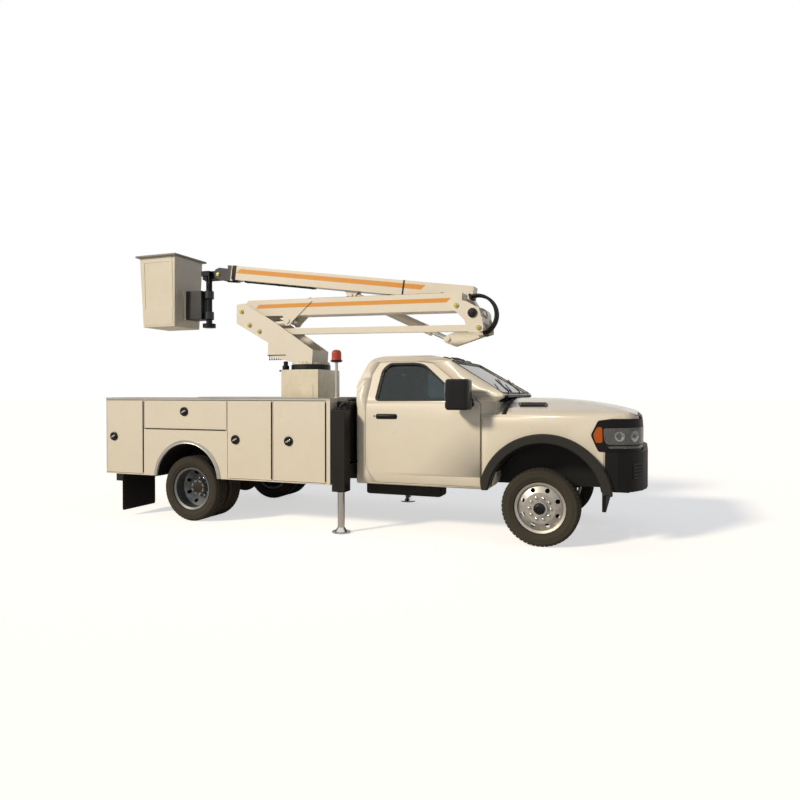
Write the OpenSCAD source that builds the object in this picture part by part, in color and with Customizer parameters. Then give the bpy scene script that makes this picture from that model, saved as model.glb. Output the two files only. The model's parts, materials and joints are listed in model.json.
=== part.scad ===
// Articulating aerial bucket truck on a single cab, dual rear wheel chassis.
// Millimetres. +X is forward, +Y is the truck's left, +Z is up, and the ground is z = 0.
// Modules draw with x = 0 on the front axle; place() moves them so that the origin is the
// middle of the whole truck's footprint.

/* [Chassis] */
// Front axle to rear axle
wheelbase = 4280; // [3600:10:5200]
// Outside width across the two frame rails
rail_spread = 864; // [760:2:960]
// Height of a frame rail
rail_h = 220; // [160:5:280]
// Flange width of a frame rail
rail_flange = 76; // [50:1:90]
// Steel thickness of a frame rail
rail_t = 8; // [5:1:14]
// Underside of the rails above the ground
rail_z = 600; // [560:5:660]

/* [Wheels] */
// Outside radius of a tyre
tyre_r = 405; // [340:5:490]
// Section width of a tyre
tyre_w = 225; // [190:5:250]
// Bead seat radius of a rim
bead_r = 248; // [210:1:270]
// Width between the rim flanges
rim_w = 160; // [130:2:175]
// Middle of a front tyre from the truck's centre line
front_track_half = 967; // [930:1:1010]
// Middle of the outer rear tyre from the centre line
rear_outer_half = 1087; // [1060:1:1095]
// Spacing between the two tyres of a rear pair
dual_spacing = 290; // [260:2:320]
// Kingpin from the centre line
kingpin_half = 800; // [760:5:830]

/* [Cab] */
// Width of the cab below the windows
cab_w = 2000; // [1800:10:2100]
// Back of the cab behind the front axle
cab_back = 2150; // [2050:10:2400]
// Top of the roof above the ground
roof_z = 2052; // [1950:2:2150]
// Underside of the cab above the ground
cab_z = 545; // [520:5:590]
// Thickness of a cab wall or door
cab_wall = 55; // [35:1:70]
// Front edge of the doors behind the front axle
door_front = 650; // [630:5:700]
// Rear edge of the doors behind the front axle
door_rear = 1985; // [1850:5:2020]
// Gap round a cab door and round the hood
panel_gap = 6; // [5:0.5:10]
// Thickness of window glass
glass_t = 6; // [4:0.5:8]

/* [Front end] */
// Front face of the grille ahead of the front axle
nose_x = 1005; // [950:5:1080]
// Front face of the bumper ahead of the front axle
bumper_x = 1050; // [1010:5:1120]
// Radius of the front wheel opening
arch_r = 590; // [570:5:620]
// Radial width of a wheel flare
flare_band = 98; // [60:2:120]
// How far a wheel flare stands out from the fender
flare_out = 75; // [30:5:90]
// Thickness of the fenders
fender_t = 35; // [15:1:45]
// Thickness of the hood
hood_t = 28; // [15:1:40]
// Width of the hood
hood_w = 1660; // [1500:10:1740]

/* [Service body] */
// Width across the service body
body_w = 2420; // [2300:10:2500]
// Rear end of the service body behind the rear axle
body_rear = 1327; // [1200:5:1500]
// Front end of the service body ahead of the rear axle
body_front = 1942; // [1700:2:2000]
// Underside of the side boxes above the ground
body_z = 548; // [500:2:590]
// Top of the side boxes above the ground
body_top = 1534; // [1450:2:1700]
// Depth of a side box
box_depth = 560; // [545:5:620]
// Sheet and frame thickness of the side boxes
box_wall = 20; // [10:1:30]
// Thickness of a compartment door
locker_t = 30; // [20:1:40]
// Gap round a compartment door
locker_gap = 6; // [5:0.5:9]
// Radius of the rear wheel opening
rear_arch_r = 460; // [440:5:490]

/* [Pedestal and turret] */
// Turning axis ahead of the rear axle
slew_dx = 1050; // [900:10:1200]
// Length and width of the pedestal box
pedestal_size = [550, 640]; // [400:10:700]
// Top of the pedestal above the ground
pedestal_top = 1908; // [1800:2:2000]
// Radius of the turning bearing
slew_r = 265; // [200:5:270]
// Height of the fixed ring of the bearing
slew_ring_h = 70; // [40:2:90]
// Width across the turret's side plates
turret_w = 458; // [440:2:520]
// Thickness of the turret's side plates
turret_t = 16; // [10:1:24]

/* [Booms] */
// Radius of a boom pin
pin_r = 32; // [24:1:36]
// Length of the lower boom from pin to pin
lower_len = 3040; // [2600:10:3300]
// Width of the lower boom
lower_w = 270; // [200:5:280]
// Depth of the lower boom
lower_h = 222; // [180:2:240]
// Wall of both booms
boom_wall = 10; // [5:1:16]
// Depth of the levelling link
link_h = 80; // [50:2:90]
// Middle of the upper boom from the truck's centre line
upper_y = 300; // [295:5:340]
// Width of the upper boom
upper_w = 210; // [160:5:215]
// Depth of the upper boom
upper_h = 200; // [150:5:230]
// Length of the upper boom from its pin to the bucket pin
upper_len = 4010; // [3400:10:4400]

/* [Bucket] */
// Width of the bucket at its top, under the lip
bucket_top = 650; // [560:5:700]
// Width of the bucket at its floor
bucket_floor = 580; // [480:5:620]
// Height of the bucket
bucket_h = 1070; // [900:5:1200]
// Wall of the bucket
bucket_wall = 12; // [6:1:20]
// How far the lip stands out
bucket_lip = 45; // [15:1:60]

/* [Outriggers] */
// Side of a square outrigger tube
leg_tube = 160; // [130:2:170]
// Radius of the chromed leg
leg_r = 40; // [30:1:50]
// Radius of an outrigger foot
foot_r = 105; // [80:5:115]
// Gap between a resting foot and the ground
foot_gap = 5; // [0:1:20]

/* [Hidden] */
$fn = 48;
seat = 0.3;                     // face to face seats
bore_gap = 0.4;                 // radial clearance of a pin in its eye
rear_x = -wheelbase;
axle_z = tyre_r;
rail_y = rail_spread / 2;
rail_top = rail_z + rail_h;
body_x0 = rear_x - body_rear;
body_x1 = rear_x + body_front;
half_body = body_w / 2;
floor_z = rail_top + 30;
slew_x = rear_x + slew_dx;
turret_z = pedestal_top + slew_ring_h + 4;
arch_c = [35, axle_z + 80];
rear_arch_c = [rear_x - 45, axle_z + 105];

// Boom pins, each as x and z: lower boom, lift cylinder and link on the turret
p_boom = [slew_x - 950, 2720];
p_lift = [slew_x - 825, 2530];
p_link = [slew_x - 670, 2440];
lower_slope = 0.94;
p_rise = lower_len * [cos(lower_slope), -sin(lower_slope)];
p_elbow = p_boom + p_rise;
p_drag = p_link + p_rise;
p_root = p_elbow + [204, -100];
p_foot = p_elbow + [-230, -370];
p_lug = p_boom + [670, -145];
upper_slope = 11.2;
p_tip = p_root + upper_len * [-cos(upper_slope), sin(upper_slope)];
// The upper boom's box leans a little less than the line between its pins
box_slope = 8;
root_end = p_root + [-90, 285];
p_push = p_root + [-1804, 370];
plate_t = 18;
near_y = -lower_w / 2 - 30 - plate_t;
mid_y = lower_w / 2 + 30;
far_y = upper_y + upper_w / 2 + 12;
ear_gap = 80;
mast_x = p_tip[0] - 240;
mast_r = 45;
bucket_x = mast_x - 690;
bucket_z = p_tip[1] - 760;
leg_x = body_x1 + 105;
leg_y = 1140;
// From the middle of the footprint, which runs from the bucket's lip to the bumper
front_axle_x = -(bucket_x - bucket_top / 2 - bucket_lip + bumper_x) / 2;

// ---- shared shapes ----

// The span that reaches half each way from its middle, and the span from start + a to start + b
function span(middle, half) = [middle - half, middle + half];
function from(start, a, b) = [start + a, start + b];

module place() translate([front_axle_x, 0, 0]) children();

module box(x, y, z)
    translate([x[0], y[0], z[0]]) cube([x[1] - x[0], y[1] - y[0], z[1] - z[0]]);

module both_sides() {
    children();
    mirror([0, 1, 0]) children();
}

module side_of(right) {
    if (right) mirror([0, 1, 0]) children();
    else children();
}

// A round bar along Y through p = [x, z]
module bar_y(p, y, r)
    translate([p[0], y[0], p[1]]) rotate([-90, 0, 0]) cylinder(h = y[1] - y[0], r = r);

// A plate with its outline in x and z, from y[0] to y[1]
module plate_y(y) translate([0, y[1], 0]) rotate([90, 0, 0]) linear_extrude(y[1] - y[0]) children();

// The same for an outline in y and z, from x[0] to x[1]
module plate_x(x)
    translate([x[0], 0, 0]) rotate([90, 0, 90]) linear_extrude(x[1] - x[0]) children();

// Draws its children with the local x axis pointing from p at this slope above +X
module along(p, slope) translate([p[0], 0, p[1]]) rotate([0, -slope, 0]) children();

// ---- chassis ----

rail_front = 830;
module frame_rails() color("dimgray") both_sides() difference() {
    box([rear_x - body_rear - 60, rail_front], [rail_y - rail_flange, rail_y], [rail_z, rail_top]);
    box([rear_x - body_rear - 61, rail_front + 1], [rail_y - rail_flange - 1, rail_y - rail_t],
        [rail_z + rail_t, rail_top - rail_t]);
}

// Cross members sit between the webs of the rails, behind the engine
cross_x = [rear_x - body_rear + 40, rear_x - 600, rear_x, rear_x + 600, slew_x, -1900, -1150, 760];
module crossmembers() color("dimgray") for (x = cross_x)
    box([x - 40, x + 40], [-rail_y + rail_t + seat, rail_y - rail_t - seat],
        [rail_z + 60, rail_z + 160]);

// Beam axle with kingpin yokes and its coil springs
module front_axle() color("dimgray") {
    bar_y([0, axle_z], [-kingpin_half + 95, kingpin_half - 95], 48);
    both_sides() {
        difference() {
            for (z = [-85, 60]) box([-45, 45], [kingpin_half - 110, kingpin_half + 40],
                [axle_z + z, axle_z + z + 25]);
            translate([0, kingpin_half, 0]) cylinder(h = 1000, r = kingpin_r + bore_gap);
        }
        box([-45, 45], [kingpin_half - 110, kingpin_half - 80], [axle_z - 85, axle_z + 85]);
        translate([0, rail_y - rail_flange / 2, axle_z])
            cylinder(h = rail_z - seat - axle_z, r = 62);
    }
}

// Axle tubes, differential and two leaf spring packs hung outside the rails
spring_y = [rail_y + 40, rail_y + 115];
module rear_axle() color("dimgray") {
    bar_y([rear_x, axle_z], [-640, 640], 62);
    translate([rear_x, 0, axle_z]) sphere(r = 185);
    both_sides() {
        bar_y([rear_x, axle_z], [630, rear_outer_half - 60], spindle_r);
        box([rear_x - 90, rear_x + 90], spring_y, [axle_z, axle_z + 95]);
        box([rear_x - 690, rear_x + 690], spring_y, [axle_z + 90, axle_z + 140]);
        for (x = [-690, 640]) box([rear_x + x, rear_x + x + 50],
            [rail_y + seat, rail_y + 115], [axle_z + 90, rail_z + 70]);
    }
}

module engine_block() color("gray") {
    box([-330, 560], [-330, 330], [rail_z + 40, 1250]);
    both_sides() box([-60, 60], [329, rail_y - rail_t - seat], [rail_z + 50, rail_z + 100]);
}

module fuel_tank() color("black")
    box([-2120, -1180], [-tunnel_y + 12, -rail_y - seat], [rail_z - 210, rail_z + 130]);

// ---- cab ----

// The floor stands on the frame, and the sills hang down on both sides of the tunnel below it
cab_floor_z = rail_top + 20;
tunnel_y = 700;
cowl_x = -385;
firewall_x = -480;
cowl_z = 1575;

// Side outline of the cab, as x and z, and its cross-section, as y and z
cab_side = [[-cab_back + 20, cab_z], [-cab_back, cab_z + 90], [-cab_back, 1690],
    [-cab_back + 130, roof_z - 60], [-cab_back + 270, roof_z - 8], [-1650, roof_z],
    [-1320, roof_z - 8], [-1080, roof_z - 62], [cowl_x, cowl_z], [firewall_x, cowl_z - 60],
    [firewall_x, cab_z + 90], [firewall_x - 90, cab_z]];
hw = cab_w / 2;
cab_section = [[-hw + 45, cab_z], [-hw, cab_z + 110], [-hw, 1350], [-hw + 18, 1490],
    [-hw + 215, roof_z - 70], [-hw + 300, roof_z - 20], [-hw + 500, roof_z],
    [hw - 500, roof_z], [hw - 300, roof_z - 20], [hw - 215, roof_z - 70], [hw - 18, 1490],
    [hw, 1350], [hw, cab_z + 110], [hw - 45, cab_z]];
module cab_form(inset) intersection() {
    plate_y([-hw, hw]) offset(delta = -inset) polygon(cab_side);
    plate_x([-cab_back, 0]) offset(delta = -inset) polygon(cab_section);
}

// Outline of a door and of its window, as x and z; grow widens them
module door_outline(grow) offset(delta = grow) polygon([[-door_front, cab_z + 35],
    [-door_front, 1480], [-door_front - 190, 1640], [-1240, 1935], [-1420, 1962],
    [-door_rear + 96, 1958], [-door_rear + 26, 1820], [-door_rear, 1480],
    [-door_rear, 760], [-door_rear + 115, cab_z + 35]]);
module window_outline(grow) offset(delta = grow) polygon([[-880, 1530], [-1340, 1905],
    [-1440, 1928], [-1760, 1928], [-1830, 1860], [-1865, 1530]]);
// Windscreen outline, as y and the height up its slope
screen_foot = [cowl_x, cowl_z];
screen_run = [-1080, roof_z - 62] - screen_foot;
screen_slope = atan2(screen_run[1], screen_run[0]);
screen_len = norm(screen_run);
module on_screen(low, high) translate([screen_foot[0], 0, screen_foot[1]])
    rotate([0, -screen_slope, 0]) translate([0, 0, low]) linear_extrude(high - low) children();
module screen_outline(grow) offset(delta = grow) polygon([[55, -840], [screen_len - 45, -690],
    [screen_len - 45, 690], [55, 840]]);
rear_window = [[-690, 1560], [-620, 1850], [620, 1850], [690, 1560]];

// Room inside the cab, and the room for the frame below its floor. Ahead of the doors the
// cab is narrower, so that the fenders cover it
step_y = hw - fender_t - 7;
module cabin_room(inset) difference() {
    cab_form(inset);
    box([-3000, 0], [-hw, hw], [0, cab_floor_z + 40]);
    both_sides() box([-door_front - 10, 0], [step_y - cab_wall, hw + 1], [0, cowl_z]);
}
door_seal = 10;
module cab_shell() color("ivory") {
    difference() {
        cab_form(0);
        cabin_room(cab_wall);
        box([-3000, 0], [-tunnel_y, tunnel_y], [0, cab_floor_z]);
        both_sides() {
            box([-cab_back + cab_wall, -door_front - 40], [tunnel_y + 40, hw - cab_wall - 40],
                [cab_z + 50, cab_floor_z - 10]);
            box([-door_front + panel_gap, 0], [step_y, hw + 1], [0, cowl_z - 70]);
        }
        // Door openings, with a seal flange behind each door
        difference() {
            plate_y([-hw - 1, hw + 1]) door_outline(panel_gap);
            cab_form(cab_wall - door_seal);
        }
        intersection() {
            plate_y([-hw - 1, hw + 1]) door_outline(-18);
            box([-3000, 0], [-hw, hw], [cab_floor_z + 40, 3000]);
        }
        on_screen(-90, 90) screen_outline(0);
        plate_x([-cab_back - 10, -cab_back + 200]) polygon(rear_window);
    }
    // Mounts on the frame, and the hinge pins of the hood
    both_sides() {
        for (x = [-cab_back + 200, firewall_x - 200]) translate([x, rail_y - 38, rail_top + seat])
            cylinder(h = 25, r = 36);
        plate_y([hood_hinge_y - 6, hood_hinge_y + 6]) polygon([[firewall_x - 5, hood_pin[1] - 60],
            [firewall_x - 5, hood_pin[1] - 10], hood_pin + [-6, 10], hood_pin + [10, 10],
            hood_pin + [10, -12]]);
        bar_y(hood_pin, span(hood_hinge_y, 28), 7);
    }
}

module cab_glass() color("slategray", 0.5) {
    on_screen(12, 12 + glass_t) screen_outline(-seat);
    plate_x([-cab_back + 15, -cab_back + 15 + glass_t]) offset(delta = -seat)
        polygon(rear_window);
}

module cab_interior() color("dimgray") {
    seat_x = -1560;
    seat_z = cab_floor_z + 40;
    both_sides() {
        box([seat_x - 280, seat_x + 280], [110, 620], [seat_z + 220, seat_z + 370]);
        translate([seat_x - 180, 0, seat_z + 360]) rotate([0, -14, 0])
            box([-120, 10], [120, 610], [0, 620]);
        box([seat_x - 200, seat_x + 200], [160, 560], [seat_z + seat, seat_z + 230]);
    }
    // Dashboard with the steering column and wheel
    box([-900, -640], [-hw + 180, hw - 180], [1180, 1440]);
    box([-641, firewall_x - cab_wall - seat], [-500, 500], [1200, 1300]);
    translate([-880, 380, 1330]) rotate([0, -65, 0]) {
        cylinder(h = 160, r = 35);
        translate([0, 0, 140]) rotate_extrude() translate([185, 0]) circle(r = 16);
        for (a = [90, 210, 330]) rotate([0, 0, a]) translate([0, -15, 132]) cube([185, 30, 16]);
    }
}

module cab_door() color("ivory") difference() {
    intersection() {
        cab_form(0);
        plate_y([0, hw + 1]) door_outline(0);
    }
    cab_form(cab_wall - door_seal - 0.5);
    box([-3000, 0], [-1, hw - cab_wall + door_seal + 0.5], [0, cab_z + 200]);
    plate_y([0, hw + 1]) window_outline(0);
}
module door_glass() color("slategray", 0.5) intersection() {
    difference() {
        cab_form(22);
        cab_form(22 + glass_t);
    }
    plate_y([0, hw + 1]) window_outline(-seat);
}

module door_mirror() color("black") {
    translate([-820, hw + 210, 1455]) intersection() {
        box([-130, 130], [-130, 140], [-35, 290]);
        translate([0, 0, -40]) linear_extrude(400) offset(r = 50) square([150, 170], center = true);
    }
    // Arm from the foot on the door to the head
    difference() {
        box([-790, -700], [hw - 60, hw + 160], [1440, 1500]);
        cab_form(-seat);
    }
}

// ---- front end ----

front_side = [[-door_front + panel_gap, cab_z + 40], [-door_front + panel_gap, 1500],
    [-400, 1545], [0, 1540], [400, 1505], [740, 1440], [930, 1385], [nose_x - 15, 1340],
    [nose_x, 1250], [nose_x, 980], [700, 700], [700, cab_z + 40]];
front_section = [[-hw, 500], [-hw, 1300], [-hw + 35, 1380], [-hw + 160, 1425],
    [-hw + 420, 1510], [-300, 1545], [300, 1545], [hw - 420, 1510], [hw - 160, 1425],
    [hw - 35, 1380], [hw, 1300], [hw, 500]];
front_plan = [[-door_front, -hw], [350, -hw], [640, -hw + 25], [860, -hw + 85],
    [960, -hw + 210], [nose_x, -hw + 480], [nose_x, hw - 480], [960, hw - 210],
    [860, hw - 85], [640, hw - 25], [350, hw], [-door_front, hw]];
module front_form(inset) intersection() {
    plate_y([-hw, hw]) offset(delta = -inset) polygon(front_side);
    plate_x([-door_front, nose_x]) offset(delta = -inset) polygon(front_section);
    linear_extrude(2000) offset(delta = -inset) polygon(front_plan);
}
hood_x = [cowl_x + 13, nose_x - 60];
hood_edge_z = 1372;
hood_pin = [cowl_x + 33, 1482];
hood_hinge_y = 620;
lamp_y = [560, hw];
lamp_z = [1060, 1330];
lamp_x = 690;
module arch_hole(r) bar_y(arch_c, [-hw - 200, hw + 200], r);

module front_fenders() color("ivory") both_sides() difference() {
    union() {
        intersection() {
            difference() {
                front_form(0);
                front_form(fender_t);
            }
            box([-door_front + panel_gap, nose_x], [hood_w / 2 - 60, hw], [cab_z, 1560]);
        }
        // Inner panel down to the frame
        box([-370, 890], [rail_y + 140, rail_y + 170], [rail_z + 60, 1330]);
        box([-370, 890], [rail_y + 140, hood_w / 2 - 50], [1300, 1330]);
        for (x = [-300, 700]) box([x, x + 80], [rail_y + seat, rail_y + 150],
            [rail_z + 60, rail_z + 160]);
    }
    // Seam to the hood and the opening for the wheel
    box([hood_x[0] - panel_gap, 2000], [0, hood_w / 2 + panel_gap], [hood_edge_z - panel_gap, 2000]);
    intersection() {
        arch_hole(arch_r + 2);
        box([-2000, 2000], [rail_y + 180, 2000], [0, 2000]);
    }
    box([arch_c[0] - arch_r - 2, arch_c[0] + arch_r + 2], [rail_y + 180, 2000], [0, arch_c[1]]);
    box([lamp_x, 2000], [lamp_y[0] - seat, 2000], [lamp_z[0] - seat, lamp_z[1] + seat]);
    box([-3000, cowl_x + 17], [0, hw - fender_t], [0, 2000]);
    box([-3000, -door_front + panel_gap], [0, 2000], [0, 2000]);
}

module hood() color("ivory") difference() {
    intersection() {
        difference() {
            front_form(0);
            front_form(hood_t);
        }
        box(hood_x, [-hood_w / 2, hood_w / 2], [hood_edge_z, 2000]);
    }
    bar_y(hood_pin, [-hood_w, hood_w], 7 + bore_gap);
    both_sides() box([hood_x[0] - 1, hood_pin[0] + 18], span(hood_hinge_y, 12), [0, 2000]);
}

module grille() color("silver") {
    bars = 4;
    difference() {
        intersection() {
            difference() {
                front_form(0);
                front_form(60);
            }
            box([800, nose_x], [-lamp_y[0] + 5, lamp_y[0] - 5], [1000, hood_edge_z - panel_gap]);
        }
        for (i = [0 : bars - 1]) box([0, 2000], [-lamp_y[0] + 60, lamp_y[0] - 60],
            [1030 + i * 78, 1030 + i * 78 + 55]);
    }
    // Uprights that tie the grille to the frame
    both_sides() box([810, 900], [rail_y - 60, rail_y - 20], [rail_top + seat, 1040]);
    both_sides() box([860, 960], [rail_y - 60, rail_y - 20], [1000, 1060]);
}

module headlamps() color("white", 0.7) both_sides() intersection() {
    front_form(2);
    box([lamp_x + seat, 2000], [lamp_y[0] + seat, 2000], lamp_z);
}

bumper_plan = [[560, hw + 12], [760, hw + 5], [900, hw - 70], [1000, hw - 240],
    [bumper_x, hw - 560], [bumper_x, 0]];
bumper_z = [600, 1000];
dam_y = 760;
module half_bumper(low, x_back, shrink) translate([0, 0, low]) linear_extrude(bumper_z[1] - bumper_z[0])
    difference() {
        offset(delta = -shrink) polygon(concat(bumper_plan, [[bumper_x, -300], [560, -300]]));
        translate([-2000, -2000]) square([2000 + x_back, 4000]);
        translate([-2000, -2000]) square([4000, 2000]);
    }
module front_bumper() color("black") {
    difference() {
        both_sides() half_bumper(bumper_z[0], 640, 0);
        both_sides() half_bumper(bumper_z[0] + 50, 600, 55);
        front_form(-seat);
        arch_hole(arch_r + flare_band + 4);
        box([0, rail_front + 2], [-dam_y - 80, dam_y + 80], [0, 2000]);
    }
    // Air dam below, hung from the bumper's underside, and the brackets from the rails
    box([600, 640], [-dam_y, dam_y], [350, rail_z - 10]);
    box([600, rail_front + 40], [-dam_y, dam_y], [rail_z - 35, rail_z - 10]);
    box([rail_front + 4, rail_front + 40], [-dam_y, dam_y], [rail_z - 35, rail_z + 20]);
    both_sides() box([rail_front + seat, bumper_x - 60], [rail_y - 50, rail_y - 20],
        [rail_z + 40, rail_z + 120]);
}

module wheel_flares() color("black") both_sides() intersection() {
    difference() {
        bar_y(arch_c, [hw + seat, hw + flare_out], arch_r + flare_band);
        bar_y(arch_c, [0, hw + 200], arch_r);
    }
    box([-door_front + 28, 2000], [0, 2000], [cab_z + 15, 2000]);
}

// ---- service body ----

// Compartments of one side: x from the rear axle, z, and where the door is hinged
lockers = [
    [[-1320, -715], [body_z + 14, body_top - 24]],
    [[-705, 545], [1140, body_top - 24]],
    [[555, 1180], [body_z + 14, body_top - 24]],
    [[1190, body_front - 52], [body_z + 14, body_top - 24]]];
module body_side() color("ivory") difference() {
    box([body_x0, body_x1], [half_body - box_depth, half_body], [body_z, body_top]);
    for (l = lockers) {
        x = l[0];
        z = l[1];
        box(from(rear_x, x[0], x[1]), [half_body - locker_t - 0.5, half_body + 1], z);
        box([rear_x + x[0] + 25, rear_x + x[1] - 25],
            [half_body - box_depth + box_wall, half_body + 1], [z[0] + 25, z[1] - 25]);
    }
    // Wheel opening, with the fixed panel round it
    bar_y(rear_arch_c, [half_body - box_depth - 1, half_body + 1], rear_arch_r);
    box([rear_arch_c[0] - rear_arch_r, rear_arch_c[0] + rear_arch_r],
        [half_body - box_depth - 1, half_body + 1], [0, rear_arch_c[1]]);
}

module locker_door(i) color("ivory") {
    x = from(rear_x, lockers[i][0][0] + locker_gap, lockers[i][0][1] - locker_gap);
    z = lockers[i][1] + [locker_gap, -locker_gap];
    box(x, [half_body - locker_t, half_body], z);
    // Round latch, standing a little proud
    latch = [[0.2, 0.5], [0.5, 0.62], [0.18, 0.5], [0.3, 0.5]][i];
    bar_y([x[0] + latch[0] * (x[1] - x[0]), z[0] + latch[1] * (z[1] - z[0])],
        [half_body - 1, half_body + 14], 50);
}

module body_floor() color("gray") {
    gap = half_body - box_depth - seat;
    box([body_x0, body_x1], [-gap, gap], [floor_z, floor_z + 30]);
    box([body_x1 - 30, body_x1], [-gap, gap], [floor_z, body_top - 60]);
    both_sides() box([body_x0 + 20, body_x1], [rail_y - 70, rail_y], [rail_top + seat, floor_z + 1]);
}

module rear_bumper() color("black") {
    difference() {
        box([body_x0 - 270, body_x0 - 60 - seat], [-760, 760], [380, 740]);
        box([body_x0 - 240, body_x0 - 59], [-730, 730], [410, 710]);
        hitch_bolts();
    }
    both_sides() box([body_x0 - 241, body_x0 - 60 - seat], [rail_y - 60, rail_y - 10],
        [rail_z + 20, rail_top - 120]);
    // Receiver tube
    difference() {
        box([body_x0 - 440, body_x0 - 239], [-32, 32], [400, 464]);
        box([body_x0 - 441, body_x0 - 239], [-25.4, 25.4], [406.6, 457.4]);
        bar_y([body_x0 - 390, 432], [-60, 60], 8.1);
    }
}
module hitch_bolts() for (y = [-42.9, 42.9], z = [-22.25, 22.25])
    translate([body_x0 - 280, y, 600 + z]) rotate([0, 90, 0]) cylinder(h = 60, r = 6.75);

module outrigger_tubes() color("black") both_sides() {
    difference() {
        box([leg_x - leg_tube / 2, leg_x + leg_tube / 2],
            [leg_y - leg_tube / 2, leg_y + leg_tube / 2], [475, 1406]);
        box([leg_x - leg_tube / 2 + 10, leg_x + leg_tube / 2 - 10],
            [leg_y - leg_tube / 2 + 10, leg_y + leg_tube / 2 - 10], [555, 1396]);
        translate([leg_x, leg_y, 400]) cylinder(h = 200, r = leg_r + bore_gap);
    }
    // Cross beam under the body to the frame
    box([leg_x - leg_tube / 2, leg_x + leg_tube / 2],
        [rail_y + seat, leg_y - leg_tube / 2 + 1], [rail_z + 20, rail_top - 40]);
}

module outrigger_leg() color("silver") {
    translate([leg_x, leg_y, foot_gap + 15]) cylinder(h = 985, r = leg_r);
    translate([leg_x, leg_y, foot_gap]) cylinder(h = 16, r = foot_r);
    translate([leg_x, leg_y, foot_gap + 15]) cylinder(h = 45, r1 = 75, r2 = leg_r);
}

module beacon() color("orange") translate([body_x1 - 45, -950, 0]) {
    translate([0, 0, body_top + seat]) cylinder(h = 440, r = 22);
    translate([0, 0, body_top + 430]) cylinder(h = 25, r = 72);
    translate([0, 0, body_top + 450]) cylinder(h = 125, r = 60);
}

// ---- pedestal and turret ----

module pedestal() {
    color("silver") difference() {
        box([slew_x - pedestal_size[0] / 2, slew_x + pedestal_size[0] / 2],
            [-pedestal_size[1] / 2, pedestal_size[1] / 2], [floor_z + 30 + seat, pedestal_top]);
        box([slew_x - pedestal_size[0] / 2 + 12, slew_x + pedestal_size[0] / 2 - 12],
            [-pedestal_size[1] / 2 + 12, pedestal_size[1] / 2 - 12],
            [floor_z + 42, pedestal_top - 30]);
        translate([slew_x, 0, pedestal_top - 200]) cylinder(h = 400, r = 90 + bore_gap);
    }
    color("black") difference() {
        translate([slew_x, 0, pedestal_top - 1]) cylinder(h = slew_ring_h + 1, r = slew_r);
        translate([slew_x, 0, pedestal_top - 200]) cylinder(h = 400, r = 90 + bore_gap);
    }
}

turret_half = turret_w / 2;
turret_side = [p_boom + [-82, 97], p_boom + [-82, -161], p_boom + [417, -439],
    [p_boom[0] + 417, 2104], [slew_x - 160, turret_z + 30], [slew_x - 125, turret_z],
    [slew_x + 135, turret_z], [slew_x + 148, turret_z + 185], p_boom + [507, -158],
    p_boom + [40, 112]];
module turret() color("ivory") {
    difference() {
        union() {
            plate_y([turret_half - turret_t, turret_half]) polygon(turret_side);
            plate_y([-turret_half, -turret_half + turret_t]) polygon(turret_side);
        }
        for (p = [p_boom, p_lift, p_link]) bar_y(p, [-400, 400], pin_r - 10);
    }
    // Webs along the lower edge, the front and the foot
    plate_y([-turret_half + 1, turret_half - 1]) {
        polygon([p_boom + [-82, -161], p_boom + [417, -439], p_boom + [417, -424],
            p_boom + [-82, -146]]);
        polygon([[slew_x + 133, turret_z], [slew_x + 146, turret_z + 185],
            [slew_x + 132, turret_z + 185], [slew_x + 119, turret_z]]);
        polygon([[p_boom[0] + 417, 2104], [p_boom[0] + 417, 2290], [p_boom[0] + 431, 2290],
            [p_boom[0] + 431, 2104]]);
    }
    translate([slew_x, 0, turret_z]) cylinder(h = 24, r = slew_r - 10);
    translate([slew_x, 0, pedestal_top - 150]) cylinder(h = turret_z - pedestal_top + 160, r = 90);
    // Pins with their heads outside the plates
    for (p = [p_boom, p_lift, p_link]) {
        bar_y(p, [-turret_half - 14, turret_half + 14], pin_r - 10);
        bar_y(p, [-turret_half - 14, -turret_half + 1], pin_r);
        bar_y(p, [turret_half - 1, turret_half + 14], pin_r);
    }
}

module pin_bore(p, y) bar_y(p, [y[0] - 5, y[1] + 5], pin_r - 10 + bore_gap);

link_y = [-lower_w / 2 - 5, -lower_w / 2 + 75];
module link() color("ivory") difference() {
    union() {
        bar_y(p_link, link_y + [-3, 3], 46);
        bar_y(p_drag, link_y + [-3, 3], 46);
        along(p_link, -lower_slope) box([0, lower_len], link_y, [-link_h / 2, link_h / 2]);
    }
    pin_bore(p_link, link_y);
    pin_bore(p_drag, link_y);
}

lower_low = -60;
lug_y = [lower_w / 2 - 5, lower_w / 2 + 12];
module lower_boom() color("ivory") difference() {
    union() {
        difference() {
            along(p_boom, -lower_slope) plate_y([-lower_w / 2, lower_w / 2])
                polygon([[-60, lower_low], [-60, 60], [50, lower_low + lower_h],
                    [lower_len + 60, lower_low + lower_h], [lower_len + 60, lower_low]]);
            along(p_boom, -lower_slope) box([130, lower_len - 110],
                [-lower_w / 2 + boom_wall, lower_w / 2 - boom_wall],
                [lower_low + boom_wall, lower_low + lower_h - boom_wall]);
        }
        // Ear plates that carry the eye of the lift cylinder's rod
        both_sides() plate_y(lug_y) polygon([p_lug + [-75, 120], p_lug + [-62, -20],
            p_lug + [-30, -62], p_lug + [30, -62], p_lug + [70, -10], p_lug + [370, 250],
            p_lug + [-60, 250]]);
        both_sides() bar_y(p_lug, [40, lower_w / 2 + 26], pin_r);
    }
    for (p = [p_boom, p_elbow]) pin_bore(p, [-lower_w / 2, lower_w / 2]);
}

// ---- cylinders ----

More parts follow.
